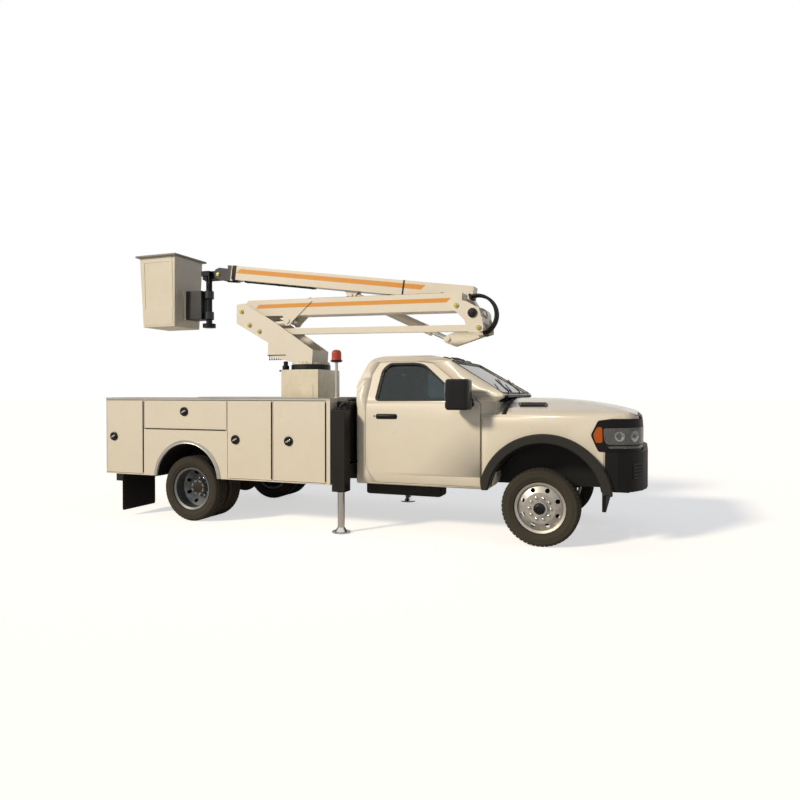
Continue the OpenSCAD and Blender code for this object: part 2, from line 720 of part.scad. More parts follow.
lift_vec = p_lug - p_lift;
lift_len = norm(lift_vec);
lift_slope = atan2(lift_vec[1], lift_vec[0]);
module lift_barrel() color("ivory") difference() {
    union() {
        bar_y(p_lift, [-30, 30], 48);
        along(p_lift, lift_slope) rotate([0, 90, 0]) cylinder(h = lift_len - 95, r = 46);
    }
    pin_bore(p_lift, [-60, 60]);
    along(p_lift, lift_slope) translate([70, 0, 0]) rotate([0, 90, 0])
        cylinder(h = lift_len, r = 26 + bore_gap);
}
module lift_rod() color("silver") {
    bar_y(p_lug, [-30, 30], 40);
    along(p_lift, lift_slope) translate([90, 0, 0]) rotate([0, 90, 0])
        cylinder(h = lift_len - 95, r = 26);
}

push_vec = p_foot - p_push;
push_len = norm(push_vec);
push_slope = atan2(push_vec[1], push_vec[0]);
module upper_barrel() color("gray") difference() {
    union() {
        bar_y(p_push, [upper_y - 35, upper_y + 35], 45);
        along(p_push, push_slope) translate([30, upper_y, 0]) rotate([0, 90, 0])
            cylinder(h = 60, r = 34);
        along(p_push, push_slope) translate([85, upper_y, 0]) rotate([0, 90, 0])
            cylinder(h = push_len - 330, r = 60);
    }
    pin_bore(p_push, span(upper_y, 35));
    along(p_push, push_slope) translate([130, upper_y, 0]) rotate([0, 90, 0])
        cylinder(h = push_len, r = 34 + bore_gap);
}
module upper_rod() color("silver") {
    bar_y(p_foot, [upper_y - 30, upper_y + 30], 44);
    along(p_push, push_slope) translate([160, upper_y, 0]) rotate([0, 90, 0])
        cylinder(h = push_len - 165, r = 34);
}

// ---- elbow ----

elbow_near = [p_elbow + [-52, -30], p_elbow + [-48, 45], p_elbow + [0, 78],
    p_elbow + [130, 42], p_elbow + [282, -42], p_elbow + [335, -240], p_elbow + [335, -320],
    p_elbow + [240, -345], p_elbow + [150, -330], p_elbow + [100, -180]];
module elbow() color("ivory") {
    difference() {
        for (y = [near_y, mid_y, far_y]) plate_y([y, y + plate_t]) polygon(
            y == far_y ? [for (p = elbow_near) p[0] < p_elbow[0] + 90 ? p + [60, -60] : p]
                : elbow_near);
        bar_y(p_root, [-500, 600], 60 + bore_gap);
        for (p = [p_elbow, p_drag]) bar_y(p, [-500, mid_y + 40], pin_r - 10);
    }
    // Main pin of the upper boom, and the pins of the lower boom and the link
    bar_y(p_root, [near_y - 12, far_y + plate_t + 12], 60);
    for (p = [p_elbow, p_drag]) {
        bar_y(p, [near_y - 14, mid_y + plate_t + 10], pin_r - 10);
        bar_y(p, [near_y - 14, near_y + 1], pin_r);
    }
    // Front web between the near and middle plates
    box(from(p_elbow[0], 308, 326), [near_y + 1, mid_y + 1], from(p_elbow[1], -215, -150));
    // Ears of the upper cylinder's rod, below the upper boom's root
    for (y = [upper_y - ear_gap / 2 - 15, upper_y + ear_gap / 2]) plate_y([y, y + 15]) polygon([
        p_foot + [-50, 20], p_foot + [-50, -40], p_foot + [95, -100], p_drag + [-20, -65],
        p_drag + [10, -30], p_drag + [-40, 35], p_drag + [-230, 60], p_foot + [20, 60]]);
    box(from(p_drag[0], -110, 0), [mid_y + 1, far_y + 1], from(p_drag[1], -55, 15));
    bar_y(p_foot, [upper_y - ear_gap / 2 - 40, upper_y - ear_gap / 2 + 4], pin_r);
    bar_y(p_foot, [upper_y + ear_gap / 2 - 4, upper_y + ear_gap / 2 + 40], pin_r);
}

// Three hydraulic hoses that loop round the front of the elbow, held by a clamp at each end
hose_r = 19;
hose_loop_r = 245;
hose_ys = [-28, 22, 72];
hose_from = 110;
hose_to = -68;
module hose_loop() color("black") {
    for (y = hose_ys) translate([p_root[0] + 10, y, p_root[1] - 10])
        rotate([90, -hose_from, 0]) rotate_extrude(angle = -(hose_from - hose_to))
            translate([hose_loop_r, 0]) circle(r = hose_r);
    for (a = [hose_from - 2, hose_to + 2])
        translate([p_root[0] + 10 + hose_loop_r * cos(a), 0, p_root[1] - 10 + hose_loop_r * sin(a)])
            rotate([0, -a, 0]) box([-30, 30], [hose_ys[0] - 24, mid_y - seat], [-14, 14]);
}

// ---- upper boom ----

upper_half = upper_w / 2;
box_len = norm(p_tip - root_end) - 150;
module upper_boom() color("ivory") difference() {
    union() {
        difference() {
            along(root_end, 180 - box_slope) box([0, box_len], [upper_y - upper_half,
                upper_y + upper_half], [-upper_h / 2, upper_h / 2]);
            along(root_end, 180 - box_slope) box([250, box_len - 20],
                span(upper_y, upper_half - boom_wall),
                span(0, upper_h / 2 - boom_wall));
        }
        // Lug down to the elbow's main pin
        plate_y(span(upper_y, upper_half - 3)) polygon([p_root + [80, -60],
            root_end + [-10, -60], root_end + [-330, -20], root_end + [-330, -50], p_root + [-95, -30]]);
        bar_y(p_root, span(upper_y, upper_half + 3), 105);
        // Bracket of the upper cylinder, one cheek on each side of its eye
        for (y = [upper_y - 60, upper_y + 41]) plate_y([y, y + 19]) polygon([p_push + [-120, 110],
            p_push + [-45, -45], p_push + [45, -45], p_push + [130, 90]]);
        bar_y(p_push, [upper_y - 75, upper_y + 75], pin_r - 10);
        // Cheeks of the bucket pin
        for (y = [upper_y - upper_half - 4, upper_y + upper_half - 14]) plate_y([y, y + 18])
            polygon([p_tip + [-70, 20], p_tip + [-50, 75], p_tip + [20, 98], p_tip + [240, 60],
                p_tip + [240, -110], p_tip + [30, -85], p_tip + [-60, -40]]);
        bar_y(p_tip, [upper_y - upper_half - 10, upper_y + upper_half + 10], pin_r - 10);
    }
    bar_y(p_root, [upper_y - upper_half - 5, upper_y + upper_half + 5], 60 + bore_gap);
}

module boom_tip() color("black") {
    tip_half = upper_half - 24;
    difference() {
        union() {
            bar_y(p_tip, span(upper_y, tip_half), 70);
            box(from(p_tip[0], -300, 0), span(upper_y, tip_half),
                from(p_tip[1], -60, 60));
            translate([mast_x, upper_y, bucket_z - 10]) cylinder(h = p_tip[1] - bucket_z, r = mast_r);
            translate([mast_x, upper_y, bucket_z - 10]) cylinder(h = 60, r = 95);
        }
        pin_bore(p_tip, span(upper_y, tip_half));
    }
}

module bucket_form(inset, floor_t) {
    t = bucket_top / 2 - inset;
    f = bucket_floor / 2 - inset;
    outline = [[-f, floor_t], [f, floor_t], [t, bucket_h + (inset > 0 ? 1 : 0)],
        [-t, bucket_h + (inset > 0 ? 1 : 0)]];
    intersection() {
        plate_y([-bucket_top, bucket_top]) polygon(outline);
        plate_x([-bucket_top, bucket_top]) polygon(outline);
    }
}
module bucket() color("ivory") {
    translate([bucket_x, upper_y, bucket_z]) difference() {
        union() {
            bucket_form(0, 0);
            lip = bucket_top / 2 + bucket_lip;
            box([-lip, lip], [-lip, lip], [bucket_h - 30, bucket_h]);
        }
        bucket_form(bucket_wall, bucket_wall);
    }
    // Sleeves round the mast, and the bracket to the bucket's front face
    difference() {
        union() {
            for (z = [110, 420]) translate([mast_x, upper_y, bucket_z + z])
                cylinder(h = 120, r = 70);
            box([bucket_x + bucket_top / 2 - 20, mast_x - 60], from(upper_y, -110, 110),
                [bucket_z + 110, bucket_z + 540]);
        }
        translate([mast_x, upper_y, bucket_z]) cylinder(h = 900, r = mast_r + bore_gap);
        translate([bucket_x, upper_y, bucket_z]) bucket_form(bucket_wall, bucket_wall);
    }
}

// ---- wheels ----

// Half outline of a tyre, as radius and distance from its middle
tyre_half = [[bead_r + seat, rim_w / 2 - 1], [bead_r + 18, rim_w / 2 - 1],
    [bead_r + 30, tyre_w / 2 - 14], [bead_r + 75, tyre_w / 2], [tyre_r - 38, tyre_w / 2 - 3],
    [tyre_r - 12, tyre_w / 2 - 16], [tyre_r, tyre_w / 2 - 32]];
module mirrored_outline(half) polygon(concat(half,
    [for (i = [len(half) - 1 : -1 : 0]) [half[i][0], -half[i][1]]]));
module spin_y(y) translate([0, y, 0]) rotate([-90, 0, 0]) rotate_extrude($fn = 96) children();
module tyre_ring(y) color("black") spin_y(y) difference() {
    mirrored_outline(tyre_half);
    mirrored_outline([[bead_r - 5, rim_w / 2 - 19], [bead_r + 30, rim_w / 2 - 19],
        [bead_r + 75, tyre_w / 2 - 15], [tyre_r - 32, tyre_w / 2 - 16], [tyre_r - 18, tyre_w / 2 - 34]]);
}
// Rim barrel with its disc; hub holds its radius and its two ends, counted from the disc
module rim(y, disc_y, hub) color("silver") difference() {
    union() {
        spin_y(y) mirrored_outline([[bead_r - 10, rim_w / 2], [bead_r + 16, rim_w / 2 + 8],
            [bead_r + 16, rim_w / 2 + 0.6], [bead_r, rim_w / 2 - 0.4]]);
        spin_y(disc_y) polygon([[60, -6], [165, -6], [bead_r - 5, (y - disc_y) * 0.5 - 6],
            [bead_r - 5, (y - disc_y) * 0.5 + 8], [160, 8], [60, 8]]);
        if (hub[0] > 0) bar_y([0, 0], from(disc_y, hub[1], hub[2]), hub[0]);
    }
    bar_y([0, 0], [disc_y - 400, disc_y + hub[2] - 15], spindle_r + bore_gap);
    for (a = [0 : 45 : 359]) rotate([0, a + 22.5, 0]) translate([0, disc_y - 100, 195])
        rotate([-90, 0, 0]) cylinder(h = 200, r = 24);
}

spindle_r = 35;
kingpin_r = 14;
front_disc_y = front_track_half + 85;
mate_y = rear_outer_half - dual_spacing / 2;
module at_front() translate([0, 0, axle_z]) children();
module at_rear() translate([rear_x, 0, axle_z]) children();

module knuckle() color("dimgray") at_front() {
    bar_y([0, 0], [kingpin_half - 40, front_disc_y + 20], spindle_r);
    translate([0, kingpin_half, -58]) cylinder(h = 116, r = 38);
    translate([0, kingpin_half, -100]) cylinder(h = 200, r = kingpin_r);
    box([-160, 0], [kingpin_half - 20, kingpin_half + 10], [-30, 0]);
}
module front_rim() at_front() rim(front_track_half, front_disc_y, [80, -110, 45]);
module front_tyre() at_front() tyre_ring(front_track_half);
module rear_rims() at_rear() {
    rim(rear_outer_half, mate_y + 6 + seat / 2, [95, -6, 110]);
    rim(rear_outer_half - dual_spacing, mate_y - 8 - seat / 2, [0, 0, 30]);
}
module rear_tyres() at_rear() for (y = [0, dual_spacing]) tyre_ring(rear_outer_half - y);

place() frame_rails();
place() crossmembers();
place() front_axle();
place() rear_axle();
place() engine_block();
place() fuel_tank();
place() cab_shell();
place() cab_glass();
place() cab_interior();
place() front_fenders();
place() grille();
place() headlamps();
place() front_bumper();
place() wheel_flares();
place() side_of(true) body_side();  // body_side_right
place() body_side();  // body_side_left
place() body_floor();
place() rear_bumper();
place() pedestal();
place() outrigger_tubes();
place() beacon();
place() hood();
place() side_of(true) cab_door();  // cab_door_right
place() cab_door();  // cab_door_left
place() side_of(true) door_glass();  // door_glass_right
place() door_glass();  // door_glass_left
place() side_of(true) door_mirror();  // mirror_right
place() door_mirror();  // mirror_left
place() side_of(true) locker_door(0);  // locker_rear_right
place() side_of(true) locker_door(1);  // locker_top_right
place() side_of(true) locker_door(2);  // locker_mid_right
place() side_of(true) locker_door(3);  // locker_front_right
place() locker_door(0);  // locker_rear_left
place() locker_door(1);  // locker_top_left
place() locker_door(2);  // locker_mid_left
place() locker_door(3);  // locker_front_left
place() side_of(true) knuckle();  // knuckle_right
place() knuckle();  // knuckle_left
place() side_of(true) front_rim();  // front_rim_right
place() front_rim();  // front_rim_left
place() side_of(true) front_tyre();  // front_tyre_right
place() front_tyre();  // front_tyre_left
place() side_of(true) rear_rims();  // rear_rims_right
place() rear_rims();  // rear_rims_left
place() side_of(true) rear_tyres();  // rear_tyres_right
place() rear_tyres();  // rear_tyres_left
place() turret();
place() link();
place() lower_boom();
place() lift_barrel();
place() lift_rod();
place() elbow();
place() hose_loop();
place() upper_boom();
place() upper_barrel();
place() upper_rod();
place() boom_tip();
place() bucket();
place() side_of(true) outrigger_leg();  // outrigger_leg_right
place() outrigger_leg();  // outrigger_leg_left
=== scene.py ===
import json
import math
import bmesh
import bpy
from mathutils import Matrix, Vector

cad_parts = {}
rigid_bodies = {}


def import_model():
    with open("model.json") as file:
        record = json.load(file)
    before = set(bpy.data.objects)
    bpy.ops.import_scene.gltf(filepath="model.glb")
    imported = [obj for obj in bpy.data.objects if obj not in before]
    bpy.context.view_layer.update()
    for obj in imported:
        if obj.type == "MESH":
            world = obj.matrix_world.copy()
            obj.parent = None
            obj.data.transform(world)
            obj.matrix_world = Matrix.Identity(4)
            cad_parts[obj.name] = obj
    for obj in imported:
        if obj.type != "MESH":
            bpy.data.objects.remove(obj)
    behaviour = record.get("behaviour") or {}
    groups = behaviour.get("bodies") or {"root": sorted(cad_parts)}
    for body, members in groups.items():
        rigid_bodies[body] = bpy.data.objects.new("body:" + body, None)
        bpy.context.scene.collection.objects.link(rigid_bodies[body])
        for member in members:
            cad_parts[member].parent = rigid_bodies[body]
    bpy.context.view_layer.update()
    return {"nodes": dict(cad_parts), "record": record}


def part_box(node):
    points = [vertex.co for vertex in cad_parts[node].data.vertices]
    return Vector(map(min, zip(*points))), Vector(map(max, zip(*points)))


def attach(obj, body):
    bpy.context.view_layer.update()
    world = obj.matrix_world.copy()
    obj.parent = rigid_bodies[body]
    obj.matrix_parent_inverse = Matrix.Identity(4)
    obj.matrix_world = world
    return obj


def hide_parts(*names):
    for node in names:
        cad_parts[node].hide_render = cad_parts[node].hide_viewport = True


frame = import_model()
scene = bpy.context.scene


def middleOf(node):
    low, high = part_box(node)
    return (low + high) / 2


# Every shape below is drawn in metres from the front axle, like the part's own source
axleX = middleOf("front_tyre_right").x
axleZ = middleOf("front_tyre_right").z
rearX = middleOf("rear_tyres_right").x - axleX
print("frame loaded, front axle at", round(axleX, 4))

# Nodes and materials


def linearRgb(hexCode, alpha=1.0):
    parts = [int(hexCode[i:i + 2], 16) / 255 for i in (0, 2, 4)]
    return [c / 12.92 if c <= 0.04045 else ((c + 0.055) / 1.055) ** 2.4 for c in parts] + [alpha]


def addNode(tree, kind, settings=None, values=None, links=None):
    node = tree.nodes.new(kind)
    for key, value in (settings or {}).items():
        setattr(node, key, value)
    for key, value in (values or {}).items():
        node.inputs[key].default_value = value
    for key, (source, output) in (links or {}).items():
        tree.links.new(source.outputs[output], node.inputs[key])
    return node


def newMaterial(name):
    material = bpy.data.materials.new(name)
    material.use_nodes = True
    tree = material.node_tree
    return material, tree, tree.nodes["Principled BSDF"], addNode(tree, "ShaderNodeTexCoord")


def surface(name, look):
    material, tree, shader, coords = newMaterial(name)
    spot = (coords, "Object")
    # Broad fading and grime, a few hands wide
    cloud = addNode(tree, "ShaderNodeTexNoise", values={"Scale": look.get("patch", 3.0), "Detail": 7.0,
                    "Roughness": 0.62}, links={"Vector": spot})
    spread = addNode(tree, "ShaderNodeValToRGB", links={"Fac": (cloud, "Fac")})
    spread.color_ramp.elements[0].position = 0.40
    spread.color_ramp.elements[1].position = 0.72
    # Road dust lies thicker near the ground
    height = addNode(tree, "ShaderNodeSeparateXYZ", links={"Vector": spot})
    low = addNode(tree, "ShaderNodeMapRange",
                  values={"From Min": 0.2, "From Max": 1.3, "To Min": look.get("dust", 0.0),
                          "To Max": 0.0}, links={"Value": (height, "Z")})
    amount = addNode(tree, "ShaderNodeMath", {"operation": "MULTIPLY_ADD", "use_clamp": True},
                     {1: look.get("fade", 0.25)}, {0: (spread, "Color"), 2: (low, "Result")})
    colour = addNode(tree, "ShaderNodeMix", {"data_type": "RGBA"}, links={"Factor": (amount, "Value")})
    colour.inputs["A"].default_value = linearRgb(look["colour"])
    colour.inputs["B"].default_value = linearRgb(look["worn"])
    tree.links.new(colour.outputs["Result"], shader.inputs["Base Color"])
    # Fine grain, sized in millimetres; a stretch draws brushing along one axis
    stretch = addNode(tree, "ShaderNodeMapping", values={"Scale": look.get("stretch", (1, 1, 1))},
                      links={"Vector": spot})
    grain = addNode(tree, "ShaderNodeTexNoise",
                    values={"Scale": 1000 / look.get("grainMm", 4), "Detail": 3.0},
                    links={"Vector": (stretch, "Vector")})
    gloss = addNode(tree, "ShaderNodeMapRange", values={"From Min": 0.3, "From Max": 0.7,
                    "To Min": look["rough"][0], "To Max": look["rough"][1]},
                    links={"Value": (cloud, "Fac")})
    tree.links.new(gloss.outputs["Result"], shader.inputs["Roughness"])
    bump = addNode(tree, "ShaderNodeBump",
                   values={"Strength": look.get("bump", 0.1), "Distance": look.get("deepMm", 0.3) / 1000},
                   links={"Height": (grain, "Fac")})
    tree.links.new(bump.outputs["Normal"], shader.inputs["Normal"])
    shader.inputs["Metallic"].default_value = look.get("metal", 0.0)
    if not look.get("metal"):
        shader.inputs["IOR"].default_value = look.get("ior", 1.5)
        shader.inputs["Specular IOR Level"].default_value = look.get("shine", 0.5)
    shader.inputs["Coat Weight"].default_value = look.get("coat", 0.0)
    return material, tree, shader, colour, coords


looks = {
    # Baked white enamel on steel sheet: warm, even, softly glossy, with faint orange peel
    "whiteEnamel": dict(colour="EAE4D6", worn="D6CEBB", rough=(0.26, 0.42), dust=0.35, grainMm=6,
                        bump=0.05, coat=0.3),
    # Sprayed boom enamel, a little chalky from the sun
    "boomEnamel": dict(colour="EDE8DC", worn="D8D1C0", rough=(0.30, 0.48), fade=0.3, grainMm=5, bump=0.07,
                       coat=0.15),
    # Satin black chassis enamel over rough steel, dulled by dust
    "chassisEnamel": dict(shine=0.25, colour="0B0B0D", worn="211E1A", rough=(0.42, 0.62), dust=0.5,
                          grainMm=5, bump=0.18),
    # Grained black polypropylene of the bumper and lamp surrounds, with a fine leathery grain
    "grainedPolypropylene": dict(shine=0.2, colour="0A0B0C", worn="191916", rough=(0.46, 0.62), dust=0.15,
                                 grainMm=2.5, bump=0.35),
    # The same moulding on the flares, bloomed grey by sun and dust
    "fadedPolypropylene": dict(shine=0.3, colour="1C1C1B", worn="35332C", rough=(0.55, 0.7), dust=0.4,
                               grainMm=2.5, bump=0.35),
    # Smooth black ABS of mirrors, cowl and caps
    "blackAbs": dict(shine=0.3, colour="0A0B0C", worn="171714", rough=(0.22, 0.38), fade=0.2, grainMm=3,
                     bump=0.05),
    # Tyre rubber: matt, brownish dust on the shoulders
    "tyreRubber": dict(shine=0.3, colour="2C2924", worn="4F493D", rough=(0.72, 0.88), dust=0.3, patch=7,
                       grainMm=5, bump=0.3),
    # Silver wheel enamel on pressed steel, with brake dust
    "silverWheelEnamel": dict(colour="B9B7B1", worn="6E675C", rough=(0.30, 0.48), metal=0.65, patch=9,
                              fade=0.5, grainMm=3),
    # A darker copy of the wheel enamel for the rear rims: painted shade for rims lying in the body's
    # shadow, with brake dust patches as on the front ones
    "shadedRearWheelEnamel": dict(colour="74777A", worn="3F3E3C", rough=(0.36, 0.55), metal=0.6, patch=9,
                             fade=0.5, grainMm=3),
    # Hard chrome on rods and nuts
    "hardChrome": dict(colour="D5D6D6", worn="A9A8A2", rough=(0.08, 0.18), metal=1.0, fade=0.3, grainMm=2,
                       bump=0.02),
    # Yellow zinc plate on pins: dull gold with a green cast
    "zincPlate": dict(colour="A79E5C", worn="7C6F3A", rough=(0.34, 0.5), metal=0.9, patch=20, grainMm=2,
                      bump=0.1),
    # Mill finish aluminium of treadplate and arch trim
    "millAluminium": dict(colour="B4B3AE", worn="8C887E", rough=(0.28, 0.46), metal=0.95, grainMm=3,
                          bump=0.1),
    # Dark seat vinyl with a coarse grain
    "seatVinyl": dict(colour="2C2C2E", worn="3C3A37", rough=(0.45, 0.6), grainMm=3, bump=0.5),
    # Iron castings under the truck, brown-black
    "roughIron": dict(colour="201D1B", worn="4A3527", rough=(0.6, 0.85), patch=9, fade=0.6, grainMm=7,
                      bump=0.6, metal=0.3),
    # Hydraulic hose cover: cloth-marked black rubber
    "hoseRubber": dict(shine=0.3, colour="0E0E0E", worn="1E1C1A", rough=(0.5, 0.65), grainMm=2, bump=0.3),
    # Gelcoat over glass fibre: warm white, soft gloss, faint streaks
    "gelcoat": dict(colour="EAE4D5", worn="D3CBB7", rough=(0.32, 0.5), fade=0.4, stretch=(1, 1, 0.15),
                    grainMm=9, bump=0.1),
    "mirrorGlass": dict(colour="C9CED2", worn="B8BEC2", rough=(0.02, 0.05), metal=1.0, fade=0.1,
                        bump=0.0),
}
mats = {name: surface(name, look)[0] for name, look in looks.items()}


def glass(name, tint, roughness, weight, ior=1.45):
    material, tree, shader, coords = newMaterial(name)
    haze = addNode(tree, "ShaderNodeTexNoise", values={"Scale": 4.0, "Detail": 6.0},
                   links={"Vector": (coords, "Object")})
    gloss = addNode(tree, "ShaderNodeMapRange", values={"To Min": roughness, "To Max": roughness * 2.5},
                    links={"Value": (haze, "Fac")})
    tree.links.new(gloss.outputs["Result"], shader.inputs["Roughness"])
    shader.inputs["Base Color"].default_value = linearRgb(tint)
    shader.inputs["Transmission Weight"].default_value = weight
    shader.inputs["IOR"].default_value = ior
    return material


# Grey-green safety glass
mats["tintedGlass"] = glass("tintedGlass", "6F8084", 0.015, 0.92)
mats["clearPolycarbonate"] = glass("clearPolycarbonate", "D8DCDD", 0.03, 0.9)
mats["amberPolycarbonate"] = glass("amberPolycarbonate", "F07A12", 0.08, 0.55)
mats["beaconPolycarbonate"] = glass("beaconPolycarbonate", "D2491A", 0.08, 0.4)
mats["smokedPolycarbonate"] = glass("smokedPolycarbonate", "1C1815", 0.10, 0.2)
# The screen's khaki tint is a painted reflection of the dusty ground
mats["screenGlassPaintedReflection"] = glass("screenGlassPaintedReflection", "8A8263", 0.015, 0.35, 1.15)
mats["redPolycarbonate"] = glass("redPolycarbonate", "B01510", 0.08, 0.5)


def mathNode(tree, operation, links, limit=None):
    values = {} if limit is None else {1: limit}
    return addNode(tree, "ShaderNodeMath", {"operation": operation}, values, links)


def painted(tree, shader, mask, under, hexCode):
    # Another colour wherever the mask is one
    blend = addNode(tree, "ShaderNodeMix", {"data_type": "RGBA"},
                    links={"Factor": (mask, "Value"), "A": (under, "Result")})
    blend.inputs["B"].default_value = linearRgb(hexCode)
    tree.links.new(blend.outputs["Result"], shader.inputs["Base Color"])
    return blend


def stripedEnamel(name, origin, slope, band, reach, slant, darkPast=-9.0):
    material, tree, shader, colour, coords = surface(name, looks["boomEnamel"])
    # Turned so that X runs along the boom and Z across it
    boomFrame = addNode(tree, "ShaderNodeMapping", {"vector_type": "TEXTURE"},
                        {"Location": (origin[0] + axleX, 0, origin[1]),
                         "Rotation": (0, -math.radians(slope), 0)}, {"Vector": (coords, "Object")})
    split = addNode(tree, "ShaderNodeSeparateXYZ", links={"Vector": (boomFrame, "Vector")})
    lean = mathNode(tree, "MULTIPLY_ADD", {0: (split, "Z"), 2: (split, "X")}, slant)
    facing = addNode(tree, "ShaderNodeNewGeometry")
    normal = addNode(tree, "ShaderNodeSeparateXYZ", links={"Vector": (facing, "Normal")})
    sideways = mathNode(tree, "ABSOLUTE", {0: (normal, "Y")})
    mask = mathNode(tree, "GREATER_THAN", {0: (sideways, "Value")}, 0.8)
    for source, (low, high) in (((split, "Z"), band), ((lean, "Value"), reach)):
        for operation, limit in (("GREATER_THAN", low), ("LESS_THAN", high)):
            test = mathNode(tree, operation, {0: source}, limit)
            mask = mathNode(tree, "MULTIPLY", {0: (mask, "Value"), 1: (test, "Value")})
    stripe = painted(tree, shader, mask, colour, "E39A32")
    # The cast end of the boom is black
    painted(tree, shader, mathNode(tree, "LESS_THAN", {0: (split, "X")}, darkPast), stripe, "15181C")
    return material


def bucketEnamel(frontX, lipZ, bracketZ):
    material, tree, shader, colour, coords = surface("bucketEnamel", looks["gelcoat"])
    place = addNode(tree, "ShaderNodeSeparateXYZ", links={"Vector": (coords, "Object")})
    lip = mathNode(tree, "GREATER_THAN", {0: (place, "Z")}, lipZ)
    ahead = mathNode(tree, "GREATER_THAN", {0: (place, "X")}, frontX)
    under = mathNode(tree, "LESS_THAN", {0: (place, "Z")}, bracketZ)
    bracket = mathNode(tree, "MULTIPLY", {0: (ahead, "Value"), 1: (under, "Value")})
    painted(tree, shader, bracket, painted(tree, shader, lip, colour, "8B8981"), "17191C")
    return material


def pedestalMetal(ringZ):
    look = dict(colour="CFC8B6", worn="A8A08C", rough=(0.34, 0.52), metal=0.45, patch=4, fade=0.6,
                stretch=(1, 1, 0.03), grainMm=11, bump=0.5, deepMm=0.8)
    material, tree, shader, colour, coords = surface("brushedPedestalPlate", look)
    height = addNode(tree, "ShaderNodeSeparateXYZ", links={"Vector": (coords, "Object")})
    painted(tree, shader, mathNode(tree, "GREATER_THAN", {0: (height, "Z")}, ringZ), colour, "141414")
    return material


print("materials ready")

# Shapes: a shape is a list of points and a list of faces


def prism(plane, outline, low, high):
    order = {"x": lambda a, b, t: (t, a, b), "y": lambda a, b, t: (a, t, b), "z": lambda a, b,
             t: (a, b, t)}[plane]
    area = sum(p[0] * q[1] - q[0] * p[1] for p, q in zip(outline, outline[1:] + outline[:1]))
    if (area > 0) == (plane == "y"):
        outline = outline[::-1]
    n = len(outline)
    points = [Vector(order(a, b, t)) for t in (low, high) for a, b in outline]
    faces = [tuple(range(n - 1, -1, -1)), tuple(range(n, 2 * n))]
    faces += [(i, (i + 1) % n, n + (i + 1) % n, n + i) for i in range(n)]
    return points, faces


def block(x, y, z):
    return prism("z", [(x[0], y[0]), (x[1], y[0]), (x[1], y[1]), (x[0], y[1])], z[0], z[1])


def turned(profile, centre, axis, count=48):
    # Profile goes round from the foot of the axis to its head as (radius, distance along the axis)
    base = Vector(axis).to_track_quat("Z", "Y").to_matrix()
    points, rings = [], []
    for radius, along in profile:
        if radius < 1e-6:
            rings.append([len(points)])
            points.append(Vector(centre) + base @ Vector((0, 0, along)))
        else:
            rings.append(list(range(len(points), len(points) + count)))
            points += [Vector(centre) + base @ Vector((radius * math.cos(2 * math.pi * i / count),
                       radius * math.sin(2 * math.pi * i / count), along)) for i in range(count)]
    faces = []
    loops = list(zip(rings, rings[1:]))
    if len(rings[0]) > 1 and len(rings[-1]) > 1:
        loops.append((rings[-1], rings[0]))
    for a, b in loops:
        for i in range(count):
            j = (i + 1) % count
            if len(a) == 1:
                faces.append((a[0], b[j], b[i]))
            elif len(b) == 1:
                faces.append((a[i], a[j], b[0]))
            else:
                faces.append((a[i], a[j], b[j], b[i]))
    return points, faces


def tube(path, radius, count=12):
    path = [Vector(p) for p in path]
    points, faces = [], []
    side = Vector((0, 0, 1)) if abs((path[1] - path[0]).normalized().z) < 0.9 else Vector((1, 0, 0))
    for i, p in enumerate(path):
        ahead = (path[min(i + 1, len(path) - 1)] - path[max(i - 1, 0)]).normalized()
        side = (side - ahead * side.dot(ahead)).normalized()
        up = ahead.cross(side)
        points += [p + radius * (math.cos(2 * math.pi * k / count) * side
                                 + math.sin(2 * math.pi * k / count) * up)
                   for k in range(count)]
    for i in range(len(path) - 1):
        for k in range(count):
            j = (k + 1) % count
            faces.append((i * count + k, i * count + j, (i + 1) * count + j, (i + 1) * count + k))
    last = (len(path) - 1) * count
    faces += [tuple(range(count - 1, -1, -1)), tuple(range(last, last + count))]
    return points, faces


def smoothPath(points, steps=8):
    path = []
    ends = [points[0]] + list(points) + [points[-1]]
    for a, b, c, d in zip(ends, ends[1:], ends[2:], ends[3:]):
        a, b, c, d = (Vector(p) for p in (a, b, c, d))
        for i in range(steps):
            t = i / steps
            path.append(0.5 * (2 * b + (c - a) * t + (2 * a - 5 * b + 4 * c - d) * t * t
                               + (3 * b - a - 3 * c + d) * t ** 3))
    return path + [Vector(points[-1])]


def filleted(outline, radius, steps=5):
    result = []
    for i, corner in enumerate(outline):
        corner = Vector(corner)
        before, after = Vector(outline[i - 1]) - corner, Vector(outline[(i + 1) % len(outline)]) - corner
        cut = min(radius, 0.48 * before.length, 0.48 * after.length)
        a, b = corner + before.normalized() * cut, corner + after.normalized() * cut
        for k in range(steps + 1):
            t = k / steps
            result.append(tuple((1 - t) ** 2 * a + 2 * t * (1 - t) * corner + t * t * b))
    return result


def moved(shape, matrix):
    return [matrix @ p for p in shape[0]], shape[1]


def flipped(shape):
    return [Vector((p.x, -p.y, p.z)) for p in shape[0]], [tuple(reversed(f)) for f in shape[1]]


def together(shapes):
    points, faces = [], []
    for shape in shapes:
        faces += [tuple(i + len(points) for i in f) for f in shape[1]]
        points = points + list(shape[0])
    return points, faces


def bothSides(shapes):
    shapes = list(shapes)
    return shapes + [flipped(s) for s in shapes]


# Pieces


def meshObject(name, shape):
    mesh = bpy.data.meshes.new(name)
    mesh.from_pydata([(p[0] + axleX, p[1], p[2]) for p in shape[0]], [], shape[1])
    mesh.update()
    obj = bpy.data.objects.new(name, mesh)
    scene.collection.objects.link(obj)
    return obj


